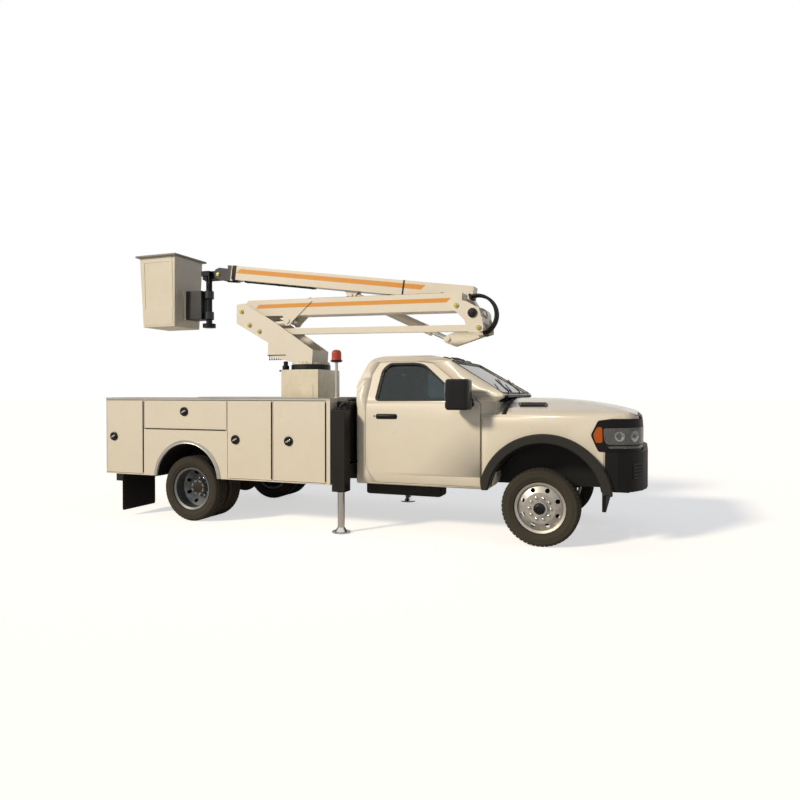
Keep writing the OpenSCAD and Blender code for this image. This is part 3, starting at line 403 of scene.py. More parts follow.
def dress(obj, material, body, bevel=0.0, smooth=32, replaces=(), segments=2):
    obj.data.materials.clear()
    obj.data.materials.append(mats[material] if isinstance(material, str) else material)
    for polygon in obj.data.polygons:
        polygon.material_index = 0
    obj.data.shade_smooth()
    obj.data.set_sharp_from_angle(angle=math.radians(smooth))
    if bevel:
        rounding = obj.modifiers.new("roundedEdges", "BEVEL")
        rounding.width, rounding.segments, rounding.limit_method = bevel, segments, "ANGLE"
        rounding.angle_limit = math.radians(smooth)
        obj.modifiers.new("evenShading", "WEIGHTED_NORMAL").keep_sharp = True
    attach(obj, body)
    if replaces:
        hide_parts(*replaces)
    return obj


def piece(name, shapes, material, body, bevel=0.0, smooth=32, replaces=()):
    return dress(meshObject(name, together(shapes)), material, body, bevel, smooth, replaces)


def plainMesh(obj):
    result = bpy.data.meshes.new_from_object(obj.evaluated_get(bpy.context.evaluated_depsgraph_get()))
    obj.modifiers.clear()
    obj.data = result
    return obj


def carve(obj, shape, operation):
    cutter = meshObject("cutter", shape)
    step = obj.modifiers.new("carve", "BOOLEAN")
    step.operation, step.solver, step.object = operation, "EXACT", cutter
    plainMesh(obj)
    bpy.data.objects.remove(cutter)
    return obj


def mergedCopy(node, name):
    source = frame["nodes"][node]
    mesh = source.data.copy()
    work = bmesh.new()
    work.from_mesh(mesh)
    bmesh.ops.remove_doubles(work, verts=work.verts, dist=0.00004)
    bmesh.ops.dissolve_limit(work, angle_limit=math.radians(0.4), verts=work.verts, edges=work.edges)
    bmesh.ops.triangulate(work, faces=[face for face in work.faces if len(face.verts) > 4])
    work.to_mesh(mesh)
    work.free()
    obj = bpy.data.objects.new(name, mesh)
    scene.collection.objects.link(obj)
    return obj


def shapeOf(obj):
    return ([v.co - Vector((axleX, 0, 0)) for v in obj.data.vertices],
            [tuple(p.vertices) for p in obj.data.polygons])


bodyOf = {node: body for body, members in frame["record"]["behaviour"]["bodies"].items()
          for node in members}
slotOf = {part["node"]: part["material_slot"] for part in frame["record"]["subparts"]}


def refined(node, material, bevel, smooth=32):
    return dress(mergedCopy(node, node + "_finished"), material, bodyOf[node], bevel,
                 smooth, (node,))


# Geometry Nodes: parts round a ring and parts in rows


def newTree(name, sockets):
    tree = bpy.data.node_groups.new(name, "GeometryNodeTree")
    tree.is_modifier = True
    tree.interface.new_socket("Geometry", in_out="INPUT", socket_type="NodeSocketGeometry")
    for label, kind in sockets:
        tree.interface.new_socket(label, in_out="INPUT", socket_type="NodeSocket" + kind)
    tree.interface.new_socket("Geometry", in_out="OUTPUT", socket_type="NodeSocketGeometry")
    return tree, addNode(tree, "NodeGroupInput"), addNode(tree, "NodeGroupOutput")


ringTree, ringIn, ringOut = newTree("partsRoundRing",
                                    (("Count", "Int"), ("Radius", "Float"), ("Material", "Material")))
circle = addNode(ringTree, "GeometryNodeMeshCircle",
                 links={"Vertices": (ringIn, "Count"), "Radius": (ringIn, "Radius")})
where = addNode(ringTree, "GeometryNodeInputPosition")
outward = addNode(ringTree, "FunctionNodeAlignRotationToVector", {"axis": "X", "pivot_axis": "Z"},
                  links={"Vector": (where, "Position")})
spreadRing = addNode(ringTree, "GeometryNodeInstanceOnPoints", links={"Points": (circle, "Mesh"),
                     "Instance": (ringIn, "Geometry"), "Rotation": (outward, "Rotation")})
realRing = addNode(ringTree, "GeometryNodeRealizeInstances",
                   links={"Geometry": (spreadRing, "Instances")})
finishRing = addNode(ringTree, "GeometryNodeSetMaterial",
                     links={"Geometry": (realRing, "Geometry"), "Material": (ringIn, "Material")})
ringTree.links.new(finishRing.outputs["Geometry"], ringOut.inputs["Geometry"])

rowTree, rowIn, rowOut = newTree("partsInRows",
                                 (("Count", "Int"), ("Step", "Vector"), ("Rows", "Int"),
                                  ("Row Step", "Vector"), ("Material", "Material")))
line = addNode(rowTree, "GeometryNodeMeshLine", {"mode": "OFFSET"},
               links={"Count": (rowIn, "Count"), "Offset": (rowIn, "Step")})
rows = addNode(rowTree, "GeometryNodeMeshLine", {"mode": "OFFSET"},
               links={"Count": (rowIn, "Rows"), "Offset": (rowIn, "Row Step")})
oneRow = addNode(rowTree, "GeometryNodeInstanceOnPoints",
                 links={"Points": (line, "Mesh"), "Instance": (rowIn, "Geometry")})
allRows = addNode(rowTree, "GeometryNodeInstanceOnPoints",
                  links={"Points": (rows, "Mesh"), "Instance": (oneRow, "Instances")})
realRows = addNode(rowTree, "GeometryNodeRealizeInstances", links={"Geometry": (allRows, "Instances")})
finishRows = addNode(rowTree, "GeometryNodeSetMaterial",
                     links={"Geometry": (realRows, "Geometry"), "Material": (rowIn, "Material")})
rowTree.links.new(finishRows.outputs["Geometry"], rowOut.inputs["Geometry"])


def repeated(tree, shape, values):
    mesh = bpy.data.meshes.new("repeatedPart")
    mesh.from_pydata([tuple(p) for p in shape[0]], [], shape[1])
    obj = bpy.data.objects.new("repeatedPart", mesh)
    scene.collection.objects.link(obj)
    modifier = obj.modifiers.new("repeat", "NODES")
    modifier.node_group = tree
    keys = {item.name: item.identifier for item in tree.interface.items_tree if item.in_out == "INPUT"}
    for label, value in {**values, "Material": mats["millAluminium"]}.items():
        modifier[keys[label]] = value
    plainMesh(obj)
    result = ([v.co.copy() for v in obj.data.vertices], [tuple(p.vertices) for p in obj.data.polygons])
    bpy.data.objects.remove(obj)
    return result


def ring(shape, count, radius, centre, axis, phase=0.0):
    base = Matrix.Translation(Vector(centre)) @ Vector(axis).to_track_quat("Z", "Y").to_matrix().to_4x4()
    return moved(repeated(ringTree, shape, {"Count": count, "Radius": radius}),
                 base @ Matrix.Rotation(phase, 4, "Z"))


def rowsOf(shape, count, step, rowCount=1, rowStep=(0, 0, 0)):
    return repeated(rowTree, shape, {"Count": count, "Step": step, "Rows": rowCount, "Row Step": rowStep})


print("builders ready")

# Camera, floor and light

view = {"place": (3.534, -7.838, 1.596), "yaw": 20.387, "pitch": 0.60, "lens": 29.13}
lens = bpy.data.cameras.new("camera")
lens.lens, lens.sensor_width = view["lens"], 36.0
lens.clip_end = 500
camera = bpy.data.objects.new("camera", lens)
camera.location = view["place"]
camera.rotation_euler = (math.radians(90 - view["pitch"]), 0, math.radians(view["yaw"]))
scene.collection.objects.link(camera)
scene.camera = camera

studio = {"floorHalf": 150.0, "floorColour": "F4F2EE", "floorGlow": 0.60, "sunStrength": 2.55,
          "sunFrom": (-0.52, -0.78, 0.50), "sunSoftness": 9.0,
          "sunColour": "FFF0D8", "ambient": 0.15, "ambientColour": "DCE6FA"}
half = studio["floorHalf"]
floorMesh = bpy.data.meshes.new("floor")
floorMesh.from_pydata([(-half, -half, -0.001), (half, -half, -0.001), (half, half, -0.001),
                       (-half, half, -0.001)], [], [(0, 1, 2, 3)])
floor = bpy.data.objects.new("floor", floorMesh)
scene.collection.objects.link(floor)
floorMaterial, tree, shader, coords = newMaterial("palePaperFloor")
shader.inputs["Base Color"].default_value = linearRgb(studio["floorColour"])
shader.inputs["Roughness"].default_value = 0.9
shader.inputs["Specular IOR Level"].default_value = 0.1
glow = addNode(tree, "ShaderNodeEmission", values={"Strength": studio["floorGlow"]})
path = addNode(tree, "ShaderNodeLightPath")
lift = addNode(tree, "ShaderNodeAddShader", links={0: (shader, "BSDF"), 1: (glow, "Emission")})
seen = addNode(tree, "ShaderNodeMixShader",
               links={0: (path, "Is Camera Ray"), 1: (shader, "BSDF"), 2: (lift, "Shader")})
tree.links.new(seen.outputs["Shader"], tree.nodes["Material Output"].inputs["Surface"])
floorMesh.materials.append(floorMaterial)

sun = bpy.data.lights.new("sun", "SUN")
sun.energy = studio["sunStrength"]
sun.angle = math.radians(studio["sunSoftness"])
sun.color = linearRgb(studio["sunColour"])[:3]
sunObject = bpy.data.objects.new("sun", sun)
sunObject.rotation_euler = Vector(studio["sunFrom"]).to_track_quat("Z", "Y").to_euler()
scene.collection.objects.link(sunObject)
world = bpy.data.worlds.new("studio")
scene.world = world
world.use_nodes = True
tree = world.node_tree
tree.nodes.clear()
path = addNode(tree, "ShaderNodeLightPath")
soft = addNode(tree, "ShaderNodeBackground",
               values={"Color": linearRgb(studio["ambientColour"]), "Strength": studio["ambient"]})
white = addNode(tree, "ShaderNodeBackground", values={"Color": (1, 1, 1, 1), "Strength": 1.0})
direct = addNode(tree, "ShaderNodeMath", {"operation": "ADD", "use_clamp": True},
                 links={0: (path, "Is Camera Ray"), 1: (path, "Is Glossy Ray")})
shown = addNode(tree, "ShaderNodeMath", {"operation": "ADD", "use_clamp": True},
                links={0: (direct, "Value"), 1: (path, "Is Transmission Ray")})
mixed = addNode(tree, "ShaderNodeMixShader",
                links={0: (shown, "Value"), 1: (soft, "Background"), 2: (white, "Background")})
addNode(tree, "ShaderNodeOutputWorld", links={"Surface": (mixed, "Shader")})
scene.view_settings.view_transform = "Standard"
print("camera, floor and light ready")

# The carried-over nodes and their finishes

pins = {"boom": (rearX + 0.10, 2.720), "lift": (rearX + 0.225, 2.530), "link": (rearX + 0.38, 2.440)}
rise = Vector((3.04 * math.cos(math.radians(0.94)), -3.04 * math.sin(math.radians(0.94))))
pins["elbow"] = tuple(Vector(pins["boom"]) + rise)
pins["drag"] = tuple(Vector(pins["link"]) + rise)
pins["root"] = (pins["elbow"][0] + 0.204, pins["elbow"][1] - 0.100)
upperSlope = math.radians(11.2)
pins["tip"] = (pins["root"][0] - 4.01 * math.cos(upperSlope),
               pins["root"][1] + 4.01 * math.sin(upperSlope))
rootEnd = (pins["root"][0] - 0.09, pins["root"][1] + 0.285)
slewX = rearX + 1.05
bucketX, bucketZ = pins["tip"][0] - 0.93, pins["tip"][1] - 0.76
upperY = 0.300

stripes = {"lowerBand": (0.045, 0.099), "lowerReach": (0.12, 2.86), "upperBand": (-0.004, 0.060),
           "upperReach": (-3.57, -0.70), "blackEnd": -3.655}
mats["stripedLowerBoom"] = stripedEnamel("stripedLowerBoom", pins["boom"], -0.94, stripes["lowerBand"],
                                         stripes["lowerReach"], -1.0)
mats["stripedUpperBoom"] = stripedEnamel("stripedUpperBoom", rootEnd, -8.0, stripes["upperBand"],
                                         stripes["upperReach"], -1.0, stripes["blackEnd"])
mats["bucketEnamel"] = bucketEnamel(bucketX + 0.352 + axleX, bucketZ + 1.036, bucketZ + 0.9)
mats["brushedPedestalPlate"] = pedestalMetal(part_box("pedestal")[1].z - 0.071)

finishOf = {"body_white": "whiteEnamel", "boom_white": "boomEnamel", "chassis_black": "chassisEnamel",
            "moulded_black": "grainedPolypropylene", "window_glass": "tintedGlass",
            "tyre_rubber": "tyreRubber", "wheel_steel": "silverWheelEnamel", "chrome": "hardChrome",
            "bright_plate": "brushedPedestalPlate",
            "seat_vinyl": "seatVinyl", "lamp_lens": "clearPolycarbonate",
            "beacon_amber": "amberPolycarbonate",
            "hose_rubber": "hoseRubber", "iron": "roughIron", "bucket_shell": "gelcoat"}
for name, obj in frame["nodes"].items():
    material = mats[finishOf[slotOf[name]]]
    if name == "upper_barrel":
        material = mats["boomEnamel"]
    elif name == "cab_glass":
        # The windscreen takes the glass whose tint paints in the reflection of the ground
        material = mats["screenGlassPaintedReflection"]
    elif name.startswith("rear_rims"):
        # The rear rims take the darker wheel enamel, whose colour paints in the shade they lie in
        material = mats["shadedRearWheelEnamel"]
    if not obj.data.materials:
        obj.data.materials.append(material)
    for i in range(len(obj.material_slots)):
        obj.material_slots[i].material = material

sides = (("right", -1), ("left", 1))
sheetEdge = 0.004
for part in ("body_side", "locker_rear", "locker_top", "locker_mid", "locker_front"):
    for side, sign in sides:
        refined(part + "_" + side, "whiteEnamel", sheetEdge)
for node, material, width in (("turret", "boomEnamel", 0.003), ("link", "boomEnamel", 0.005),
                              ("lower_boom", "stripedLowerBoom", 0.006),
                              ("elbow", "boomEnamel", 0.003), ("upper_boom", "stripedUpperBoom", 0.006),
                              ("boom_tip", "chassisEnamel", 0.004), ("bucket", "bucketEnamel", 0.009),
                              ("outrigger_tubes", "chassisEnamel", 0.006),
                              ("rear_bumper", "chassisEnamel", 0.005),
                              ("front_bumper", "grainedPolypropylene", 0.008),
                              ("wheel_flares", "fadedPolypropylene", 0.012),
                              ("fuel_tank", "chassisEnamel", 0.03),
                              ("pedestal", "brushedPedestalPlate", 0.004),
                              ("cab_interior", "seatVinyl", 0.02)):
    refined(node, material, width)
print("plates and booms finished")

# Cab, doors and front end, trimmed to rounded forms

cabBody = {"roof": 2.052, "low": 0.545, "back": -2.15, "fillet": 0.13}
roofZ, cabZ, cabBack = cabBody["roof"], cabBody["low"], cabBody["back"]
cabSide = [(cabBack + 0.02, cabZ), (cabBack, cabZ + 0.09), (cabBack, 1.69),
           (cabBack + 0.13, roofZ - 0.06),
           (cabBack + 0.27, roofZ - 0.008), (-1.65, roofZ), (-1.32, roofZ - 0.008),
           (-1.08, roofZ - 0.062), (-0.385, 1.575), (-0.48, 1.515), (-0.48, cabZ + 0.09), (-0.57, cabZ)]
cabHalf = [(0.955, cabZ), (1.0, cabZ + 0.11), (1.0, 1.35), (0.982, 1.49), (0.785, roofZ - 0.07),
           (0.70, roofZ - 0.02), (0.50, roofZ)]
cabSection = cabHalf + [(-y, z) for y, z in reversed(cabHalf)]
cabPlan = [(cabBack, -0.93), (cabBack + 0.12, -1.0), (0.0, -1.0), (0.0, 1.0), (cabBack + 0.12, 1.0),
           (cabBack, 0.93)]
frontSide = [(-0.644, cabZ + 0.04), (-0.644, 1.5), (-0.4, 1.545), (0.0, 1.54), (0.4, 1.505), (0.74, 1.44),
             (0.93, 1.385), (0.99, 1.34), (1.005, 1.25), (1.005, 0.98), (0.70, 0.70), (0.70, cabZ + 0.04)]
frontHalf = [(1.0, 0.5), (1.0, 1.3), (0.965, 1.38), (0.84, 1.425), (0.58, 1.51), (0.30, 1.545)]
frontSection = frontHalf + [(-y, z) for y, z in reversed(frontHalf)]
frontPlanHalf = [(-0.66, 1.0), (0.35, 1.0), (0.64, 0.975), (0.86, 0.915), (0.96, 0.79), (1.005, 0.52)]
frontPlan = frontPlanHalf + [(x, -y) for x, y in reversed(frontPlanHalf)]


def cabForm():
    form = meshObject("cabForm", prism("y", filleted(cabSide, cabBody["fillet"]), -1.05, 1.05))
    carve(form, prism("x", filleted(cabSection, 0.12), -2.3, 0.1), "INTERSECT")
    return carve(form, prism("z", filleted(cabPlan, 0.08), 0.0, 2.5), "INTERSECT")


def frontForm(inset=0.0):
    form = meshObject("frontForm", prism("y", filleted([(x, z - inset) for x, z in frontSide], 0.12),
                                         -1.05, 1.05))
    section = [(y * (1 - inset), z - inset) for y, z in frontSection]
    plan = [(x - inset, y * (1 - inset)) for x, y in frontPlan]
    carve(form, prism("x", filleted(section, 0.09), -0.7, 1.1), "INTERSECT")
    return carve(form, prism("z", filleted(plan, 0.10), 0.0, 2.5), "INTERSECT")


roundCab, roundFront = shapeOf(cabForm()), shapeOf(frontForm())
for spare in [o for o in bpy.data.objects if o.name.startswith(("cabForm", "frontForm"))]:
    bpy.data.objects.remove(spare)


def cleaned(obj):
    work = bmesh.new()
    work.from_mesh(obj.data)
    bmesh.ops.remove_doubles(work, verts=work.verts, dist=0.00003)
    bmesh.ops.dissolve_degenerate(work, edges=work.edges, dist=0.00003)
    bmesh.ops.triangulate(work, faces=[face for face in work.faces if len(face.verts) > 4])
    work.to_mesh(obj.data)
    work.free()
    return obj


def trimmed(node, form, material, smooth=30):
    shell = cleaned(carve(mergedCopy(node, node + "_finished"), form, "INTERSECT"))
    return dress(shell, material, bodyOf[node], 0.0, smooth, (node,))


trimmed("cab_shell", roundCab, "whiteEnamel")
for side, sign in sides:
    trimmed("cab_door_" + side, roundCab, "whiteEnamel")
trimmed("hood", roundFront, "whiteEnamel")
trimmed("front_fenders", roundFront, "whiteEnamel")
trimmed("grille", roundFront, "grainedPolypropylene")
dress(carve(mergedCopy("headlamps", "headlampHousing"), roundFront, "INTERSECT"), "blackAbs", "chassis",
      0.0, 30, ("headlamps",))


def frontShell(name, outline, outer, inner, material):
    core = frontForm(-inner)
    shell = carve(carve(frontForm(-outer), prism("y", filleted(outline, 0.02), -1.1, 1.1), "INTERSECT"),
                  shapeOf(core), "DIFFERENCE")
    carve(shell, block((0.4, 1.1), (-lampShells["inside"], lampShells["inside"]), (0.8, 1.5)),
          "DIFFERENCE")
    bpy.data.objects.remove(core)
    shell.name = name
    return dress(cleaned(shell), material, "chassis", 0.0, 30)


# Outlines seen from the side, as distance ahead of the front axle and height
lampShells = {"inside": 0.505,
              "surround": [(0.500, 1.17), (0.570, 1.318), (0.70, 1.336), (1.04, 1.336), (1.04, 1.0005),
                           (0.575, 1.0005), (0.545, 1.06)],
              "lens": [(0.622, 1.240), (1.04, 1.250), (1.04, 1.075), (0.66, 1.075), (0.630, 1.12)],
              "daylight": [(0.665, 1.060), (1.04, 1.060), (1.04, 1.035), (0.675, 1.035)],
              "amber": [(0.522, 1.175), (0.565, 1.255), (0.610, 1.250), (0.615, 1.095), (0.550, 1.090)]}
frontShell("lampSurrounds", lampShells["surround"], 0.005, 0.0004, "grainedPolypropylene")
frontShell("lampLenses", lampShells["lens"], 0.016, 0.013, "clearPolycarbonate")
frontShell("daylightLenses", lampShells["daylight"], 0.009, 0.0054, "clearPolycarbonate")
frontShell("turnLenses", lampShells["amber"], 0.010, 0.0054, "amberPolycarbonate")
cowlCorners = carve(frontForm(0.012), block((-0.522, -0.425), (-0.964, 0.964), (1.28, 1.6)), "INTERSECT")
cowlCorners.name = "cowlCorners"
dress(cleaned(cowlCorners), "whiteEnamel", "chassis", 0.0, 30)
print("cab and front end finished")

# Wheels: treaded tyres, nuts and hub caps

wheel = {"radius": 0.395, "blocks": 54, "blockRows": (-0.0625, -0.0208, 0.0208, 0.0625),
         "blockHalfWidth": 0.017,
         "blockHalfLength": 0.018, "blockHeight": 0.0095, "nuts": 10, "nutCircle": 0.1125,
         "nutHalf": 0.017, "trackHalf": 0.967, "outerHalf": 1.087, "spacing": 0.29}
sidewall = [(0.2485, 0.078), (0.266, 0.079), (0.274, 0.092), (0.279, 0.0985), (0.286, 0.0985),
            (0.300, 0.107),
            (0.323, 0.1115), (0.328, 0.1125), (0.333, 0.1112), (0.350, 0.1105), (0.366, 0.1085),
            (0.370, 0.1095), (0.374, 0.1075), (0.386, 0.099), (0.392, 0.090), (0.395, 0.080)]
innerWall = [(0.255, 0.060), (0.300, 0.090), (0.365, 0.092), (0.378, 0.060)]
tyreProfile = ([(r, -a) for r, a in sidewall] + sidewall[::-1] + innerWall
               + [(r, -a) for r, a in innerWall[::-1]])
nut = turned([(0, 0), (wheel["nutHalf"], 0), (wheel["nutHalf"], 0.019), (0.013, 0.025), (0.006, 0.029),
              (0, 0.030)], (0, 0, 0), (0, 0, 1), 6)


def tyre(x, y):
    shapes = [turned(tyreProfile, (x, y, axleZ), (0, 1, 0), 96)]
    r, h = wheel["radius"], wheel["blockHalfWidth"]
    for i, along in enumerate(wheel["blockRows"]):
        part = block((-0.001, wheel["blockHeight"]),
                     (-wheel["blockHalfLength"], wheel["blockHalfLength"]), (along - h, along + h))
        shapes.append(ring(part, wheel["blocks"], r, (x, y, axleZ), (0, 1, 0),
                           math.pi / wheel["blocks"] * (i % 2)))
    return shapes


for side, sign in sides:
    face = (0, sign, 0)
    piece("frontTyre_" + side, tyre(0, sign * wheel["trackHalf"]), "tyreRubber", "front_wheel_" + side,
          replaces=("front_tyre_" + side,))
    piece("rearTyres_" + side, tyre(rearX, sign * wheel["outerHalf"])
          + tyre(rearX, sign * (wheel["outerHalf"] - wheel["spacing"])),
          "tyreRubber", "rear_wheels_" + side, replaces=("rear_tyres_" + side,))
    for name, x, y, body in (("front", 0, 1.059, "front_wheel_"),
                             ("rear", rearX, 0.9555, "rear_wheels_")):
        piece(name + "Nuts_" + side, [ring(nut, wheel["nuts"], wheel["nutCircle"], (x, sign * y, axleZ),
                                           face)], "hardChrome",
              body + side, smooth=25)
    cap = [(0, 0), (0.060, 0), (0.060, 0.010), (0.052, 0.020), (0.030, 0.026), (0.028, 0.022), (0, 0.022)]
    piece("frontHubCap_" + side, [turned(cap, (0, sign * 1.0965, axleZ), face, 40)], "blackAbs",
          "front_wheel_" + side)
    flange = [(0, 0), (0.070, 0), (0.070, 0.008), (0.045, 0.014), (0, 0.014)]
    bolts = ring(moved(nut, Matrix.Scale(0.6, 4)), 8, 0.082, (rearX, sign * 1.0518, axleZ), face)
    piece("rearHubCap_" + side, [turned(flange, (rearX, sign * 1.0515, axleZ), face, 40), bolts],
          "roughIron", "rear_wheels_" + side)
    disc = [(0.095, 0), (0.205, 0), (0.205, 0.030), (0.095, 0.030)]
    piece("brakeDisc_" + side, [turned(disc, (0, sign * 0.930, axleZ), face, 56)], "roughIron",
          "front_wheel_" + side)
    stem = tube([(0.19, sign * 1.03, axleZ), (0.19, sign * 1.085, axleZ + 0.004)], 0.005, 8)
    piece("valveStem_" + side, [stem], "hardChrome", "front_wheel_" + side)
print("wheels finished")

# Service body: treadplate, arch trim, hinges, gaskets, latches, flaps, lamps

box = {"x": (rearX - 1.327, rearX + 1.942), "half": 1.21, "top": 1.534, "low": 0.548, "inner": 0.65}
lockers = {"rear": ((-1.320, -0.715), (0.562, 1.510), (0.2, 0.5)),
           "top": ((-0.705, 0.545), (1.140, 1.510), (0.5, 0.62)),
           "mid": ((0.555, 1.180), (0.562, 1.510), (0.18, 0.5)),
           "front": ((1.190, 1.890), (0.562, 1.510), (0.3, 0.5))}
plate = {"lugHalf": 0.014, "lugWide": 0.004, "lugHigh": 0.0016, "pitch": 0.05}
lug = prism("z", [(-plate["lugHalf"], 0), (0, -plate["lugWide"]), (plate["lugHalf"], 0),
                  (0, plate["lugWide"])], 0, plate["lugHigh"])


def treadplate(x, y, z):
    sheets = [block(x, y, (z, z + 0.004))]
    for turn, shift in ((45, 0.25), (-45, 0.75)):
        count = (int((x[1] - x[0]) / plate["pitch"] - 0.5), int((y[1] - y[0]) / plate["pitch"] - 0.5))
        start = Vector((x[0] + plate["pitch"] * (0.25 + shift), y[0] + plate["pitch"] * (0.25 + shift),
                        z + 0.004))
        part = moved(lug, Matrix.Rotation(math.radians(turn), 4, "Z"))
        lugs = rowsOf(part, count[0], (plate["pitch"], 0, 0), count[1], (0, plate["pitch"], 0))
        sheets.append(moved(lugs, Matrix.Translation(start)))
    return sheets


lip = [block(box["x"], (box["half"] + 0.0006, box["half"] + 0.0036),
             (box["top"] - 0.020, box["top"] + 0.004))]
caps = treadplate(box["x"], (box["inner"], box["half"] + 0.0036), box["top"] + 0.0005)
piece("treadplateCaps", bothSides(caps + lip), "millAluminium", "chassis", smooth=20)
piece("loadFloorPlate", treadplate((box["x"][0] + 0.01, slewX - 0.29), (-0.645, 0.645), 0.8805),
      "millAluminium", "chassis", smooth=20)
arch = {"centre": (rearX - 0.045, 0.51), "inner": 0.461, "outer": 0.503}


def arc(radius, start, stop, steps=40):
    cx, cz = arch["centre"]
    return [(cx + radius * math.cos(math.radians(start + (stop - start) * i / steps)),
             cz + radius * math.sin(math.radians(start + (stop - start) * i / steps)))
             for i in range(steps + 1)]


trim = prism("y", arc(arch["outer"], 4.5, 175.5) + arc(arch["inner"], 175.1, 4.9), box["half"] + 0.0005,
             box["half"] + 0.009)
roll = tube([(x, box["half"] + 0.008, z) for x, z in arc(arch["inner"] + 0.004, 4.9, 175.1)], 0.008, 10)
piece("archTrim", bothSides([trim, roll]), "millAluminium", "chassis", 0.002)

hingeShapes, gasketShapes = [], []
for name, (x, z, latchAt) in lockers.items():
    x0, x1, z0, z1 = rearX + x[0], rearX + x[1], z[0], z[1]
    if name == "top":
        knuckles = tube([(x0 + 0.02, box["half"] + 0.004, z0 + 0.006),
                         (x1 - 0.02, box["half"] + 0.004, z0 + 0.006)], 0.0065, 10)
    else:
        knuckles = tube([(x1 - 0.006, box["half"] + 0.004, z0 + 0.02),
                         (x1 - 0.006, box["half"] + 0.004, z1 - 0.02)], 0.0065, 10)
    hingeShapes.append(knuckles)
    for gx, gz in (((x0, x0 + 0.005), (z0, z1)), ((x1 - 0.005, x1), (z0, z1)),
                   ((x0, x1), (z0, z0 + 0.005)), ((x0, x1), (z1 - 0.005, z1))):
        gasketShapes.append(block(gx, (box["half"] - 0.029, box["half"] - 0.008), gz))
    lx, lz = x0 + 0.006 + latchAt[0] * (x1 - x0 - 0.012), z0 + 0.006 + latchAt[1] * (z1 - z0 - 0.012)
    for side, sign in sides:
        where = (lx, sign * box["half"], lz)
        dish = turned([(0, 0.0005), (0.057, 0.0005), (0.054, 0.016), (0.044, 0.021), (0.037, 0.0147),
                       (0, 0.0147)], where, (0, sign, 0), 40)
        piece(f"latchDish_{name}_{side}", [dish], "blackAbs", f"locker_{name}_{side}")
        handle = block((-0.033, 0.033), (0.0150, 0.0240), (-0.008, 0.008))
        lock = turned([(0, 0.0150), (0.011, 0.0150), (0.011, 0.027), (0.004, 0.028), (0, 0.026)],
                      (0, 0, 0), (0, 1, 0), 20)
        both = together([moved(handle, Matrix.Rotation(math.radians(-25), 4, "Y")), lock])
        both = moved(both if sign > 0 else flipped(both), Matrix.Translation(Vector(where)))
        piece(f"latchHandle_{name}_{side}", [both], "hardChrome", f"locker_{name}_{side}",
              0.0015)
piece("lockerHinges", bothSides(hingeShapes), "chassisEnamel", "chassis")
piece("lockerGaskets", bothSides(gasketShapes), "hoseRubber", "chassis")

flap = prism("x", filleted([(0.60, 0.07), (1.20, 0.07), (1.20, 0.547), (0.60, 0.547)], 0.03), -5.353,
             -5.345)
flapBar = block((-5.362, -5.336), (0.58, 1.20), (0.515, 0.547))
piece("mudFlaps", bothSides([flap, flapBar]), "hoseRubber", "chassis", 0.002)
tank = {"x": (-2.327, -2.172), "y": (0.36, 1.045), "z": (0.83, 1.50)}
tankParts = [block(tank["x"], tank["y"], tank["z"]),
             turned([(0, 0), (0.05, 0), (0.05, 0.03), (0.035, 0.04), (0, 0.04)], (-2.25, 0.8, 1.4995),
                    (0, 0, 1), 24)]
piece("oilTanks", bothSides(tankParts), "chassisEnamel", "chassis", 0.012)
lampPlace = [(box["x"][0] - 0.0005, 0.93, 1.36), (box["x"][0] - 0.0005, 0.93, 1.20)]
piece("tailLampBezels", bothSides(turned([(0, 0), (0.066, 0), (0.066, 0.012), (0.056, 0.016),
                                          (0.054, 0.006), (0, 0.006)], p, (-1, 0, 0), 36)
                                  for p in lampPlace), "hoseRubber", "chassis")
piece("tailLampLenses", bothSides(turned([(0, 0.0062), (0.0535, 0.0062), (0.052, 0.018), (0.040, 0.024),
                                          (0, 0.026)], p, (-1, 0, 0), 36)
                                  for p in lampPlace), "redPolycarbonate", "chassis")
piece("bumperTread", treadplate((box["x"][0] - 0.268, box["x"][0] - 0.062), (-0.755, 0.755), 0.7405),
      "millAluminium", "chassis", smooth=20)
# Black sheets in the wheel arches: dark liners in the front ones, and painted shade for the shadowed
# inside of the rear ones
archLinerAndShadeParts = []
for (cx, cz), r, y0, y1, foot in (((0.035, 0.485), 0.583, 0.606, 0.992, 0.59),
                                  (arch["centre"], 0.456, 0.652, 1.204, 0.552)):
    start = math.asin((foot - cz) / r)
    bow = [(cx + r * math.cos(start + (math.pi - 2 * start) * k / 36),
            cz + r * math.sin(start + (math.pi - 2 * start) * k / 36)) for k in range(37)]
    inside = [(cx + (x - cx) * (1 - 0.005 / r), cz + (z - cz) * (1 - 0.005 / r)) for x, z in bow]
    archLinerAndShadeParts += [prism("y", bow + inside[::-1], y0, y1), prism("y", bow, y0, y0 + 0.002)]
piece("archLiners", bothSides(archLinerAndShadeParts), "hoseRubber", "chassis")
print("service body finished")

# Beacon and outriggers

beaconAt = Vector((box["x"][1] - 0.045, -0.95, 0))
pole = turned([(0, 1.5345), (0.034, 1.5345), (0.034, 1.548), (0.018, 1.552), (0.018, 1.9595),
               (0, 1.9595)], beaconAt, (0, 0, 1), 36)
socket = turned([(0, 1.96), (0.050, 1.96), (0.070, 1.970), (0.072, 1.984), (0, 1.984)], beaconAt,
                (0, 0, 1), 36)
piece("beaconPole", [pole], "millAluminium", "chassis", replaces=("beacon",))
piece("beaconSocket", [socket], "blackAbs", "chassis")
domeRibs = [(0.0575 + 0.0012 * (i % 2), 2.004 + 0.008 * i) for i in range(9)]
dome = ([(0, 1.9845), (0.060, 1.9845), (0.060, 1.995), (0.0575, 2.000)] + domeRibs
        + [(0.055, 2.078), (0.046, 2.096), (0.028, 2.106), (0, 2.109)])
piece("beaconDome", [turned(dome, beaconAt, (0, 0, 1), 40)], "beaconPolycarbonate", "chassis")
legX, legY = box["x"][1] + 0.105, 1.14
